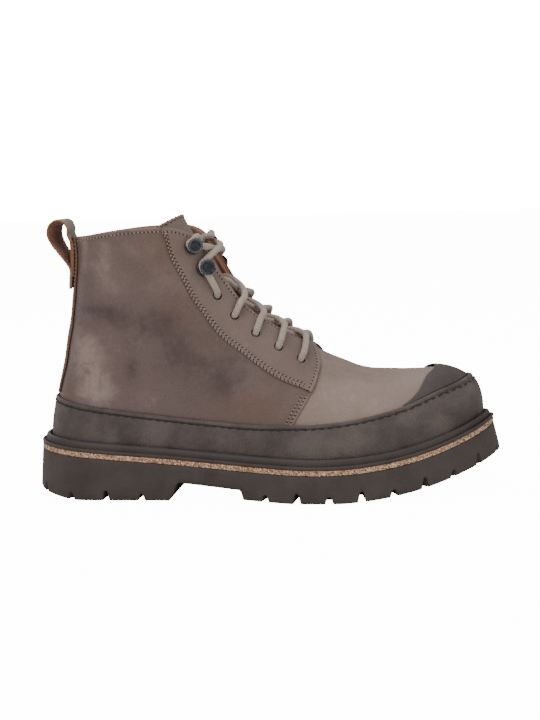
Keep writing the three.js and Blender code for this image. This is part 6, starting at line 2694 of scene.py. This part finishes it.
    def build_welt(self, ring: Ring) -> None:
        """Makes the welt: a plate, a raised bead against the rand, a groove and a flange.

        Args:
            ring: the edge of the sole.
        """
        outer = self.rand + 3 * LAST.gap + LAST.quarter_step + 0.6 + self.bead_width
        inner = outer - self.bead_width
        rows = [
            (inner, 0), (inner, 0.5 * self.bead_rise), (inner + 0.05, 0.75 * self.bead_rise),
            (inner + 0.25, 0.92 * self.bead_rise), (inner + 0.7, self.bead_rise),
            (inner + 1.3, 1.0 * self.bead_rise), (inner + 1.9, 0.94 * self.bead_rise),
            (outer - 0.75, 0.82 * self.bead_rise), (outer - 0.25, 0.6 * self.bead_rise),
            (outer, 0.35 * self.bead_rise), (outer + 0.05, 0.05 * self.bead_rise), (outer + 0.15, -0.6 * self.groove),
            (outer + 0.45, -self.groove), (outer + 0.75, -0.75 * self.groove), (outer + 1.0, -0.25 * self.groove),
            (outer + 1.35, 0.0), (LAST.margin - 1.5, 0.02), (LAST.margin - 0.7, -0.12), (LAST.margin - 0.2, -0.5),
            (LAST.margin, -0.95), (LAST.margin, -1.5), (LAST.margin - 0.15, -1.9),
        ]
        levels = [ring.level(margin, lambda x, h=rise: LAST.feather_z(x) + h) for margin, rise in rows]
        levels.append(ring.level(LAST.margin - 0.4, lambda x: LAST.cork_top(x) + LAST.gap))
        placed(ring.plate("welt_strip", levels, self.finishes.welt), "welt_rubber", "welt")


@dataclass
class Studio:
    """The camera, the light and the floor."""

    target: tuple[float, float, float] = (0.110, 0.0, 0.08515)
    azimuth: float = 7.0
    distance: float = 1.080
    height: float = 0.212
    roll: float = 1.7
    lens: float = 82.62

    def build(self) -> None:
        """Sets up the studio."""
        self.add_camera()
        self.add_lights()
        self.add_floor()

    def add_camera(self) -> None:
        """Puts the camera where the boot is seen from its outer side, and a little from above."""
        turn = math.radians(self.azimuth)
        target = Vector(self.target)
        place = Vector((
            target.x + self.distance * math.sin(turn), target.y - self.distance * math.cos(turn), self.height,
        ))
        data = bpy.data.cameras.new("camera")
        data.lens, data.sensor_width = self.lens, 36.0
        data.clip_start, data.clip_end = 0.01, 50
        camera = bpy.data.objects.new("camera", data)
        look = (target - place).to_track_quat("-Z", "Y").to_matrix().to_4x4()
        camera.matrix_world = Matrix.Translation(place) @ look @ Matrix.Rotation(math.radians(-self.roll), 4, "Z")
        bpy.context.scene.collection.objects.link(camera)
        bpy.context.scene.camera = camera

    def add_lights(self) -> None:
        """Lights the boot with large soft lights and a white surround."""
        scene = bpy.context.scene
        world = bpy.data.worlds.new("surround")
        world.use_nodes = True
        graph = Graph(world.node_tree)
        seen = graph.node("LightPath").outputs["Is Camera Ray"]
        strength = graph.plus(0.42, graph.times(seen, 16.0))
        background = world.node_tree.nodes["Background"].inputs
        background["Color"].default_value = (1, 1, 1, 1)
        graph.feed(background["Strength"], strength)
        scene.world = world
        for name, place, size, power in (
            ("key", (-0.5, -1.1, 1.2), 1.0, 8.5),
            ("fill", (1.1, -0.9, 0.7), 1.2, 4.2),
            ("top", (0.1, 0.2, 1.5), 1.3, 8.0),
            ("rim", (-0.7, 0.9, 0.8), 0.9, 3.5),
        ):
            data = bpy.data.lights.new(name, "AREA")
            data.energy, data.size = power, size
            lamp = bpy.data.objects.new(name, data)
            lamp.location = place
            lamp.rotation_euler = (Vector(self.target) - Vector(place)).to_track_quat("-Z", "Y").to_euler()
            scene.collection.objects.link(lamp)

    def add_floor(self) -> None:
        """Lays the floor."""
        store = MeshStore("floor")
        far = 6000.0
        points = np.array([[-far, -far, -0.2], [far, -far, -0.2], [far, far, -0.2], [-far, far, -0.2]])
        store.add_faces(points, np.array([[0, 1, 2, 3]]))
        store.build((FloorFinish().material(),))


def main() -> None:
    """Builds the boot, piece by piece."""
    logging.basicConfig(level=logging.INFO, format="%(name)s: %(message)s")
    Studio().build()
    finishes = Finishes()
    Uppers(finishes).build()
    Trims(finishes).build()
    Tongue(finishes).build()
    PullLoop(finishes).build()
    Lacing(finishes).build()
    Sole(finishes).build()
    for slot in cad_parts["insole"].material_slots:
        slot.material = finishes.footbed


if __name__ == "__main__":
    main()
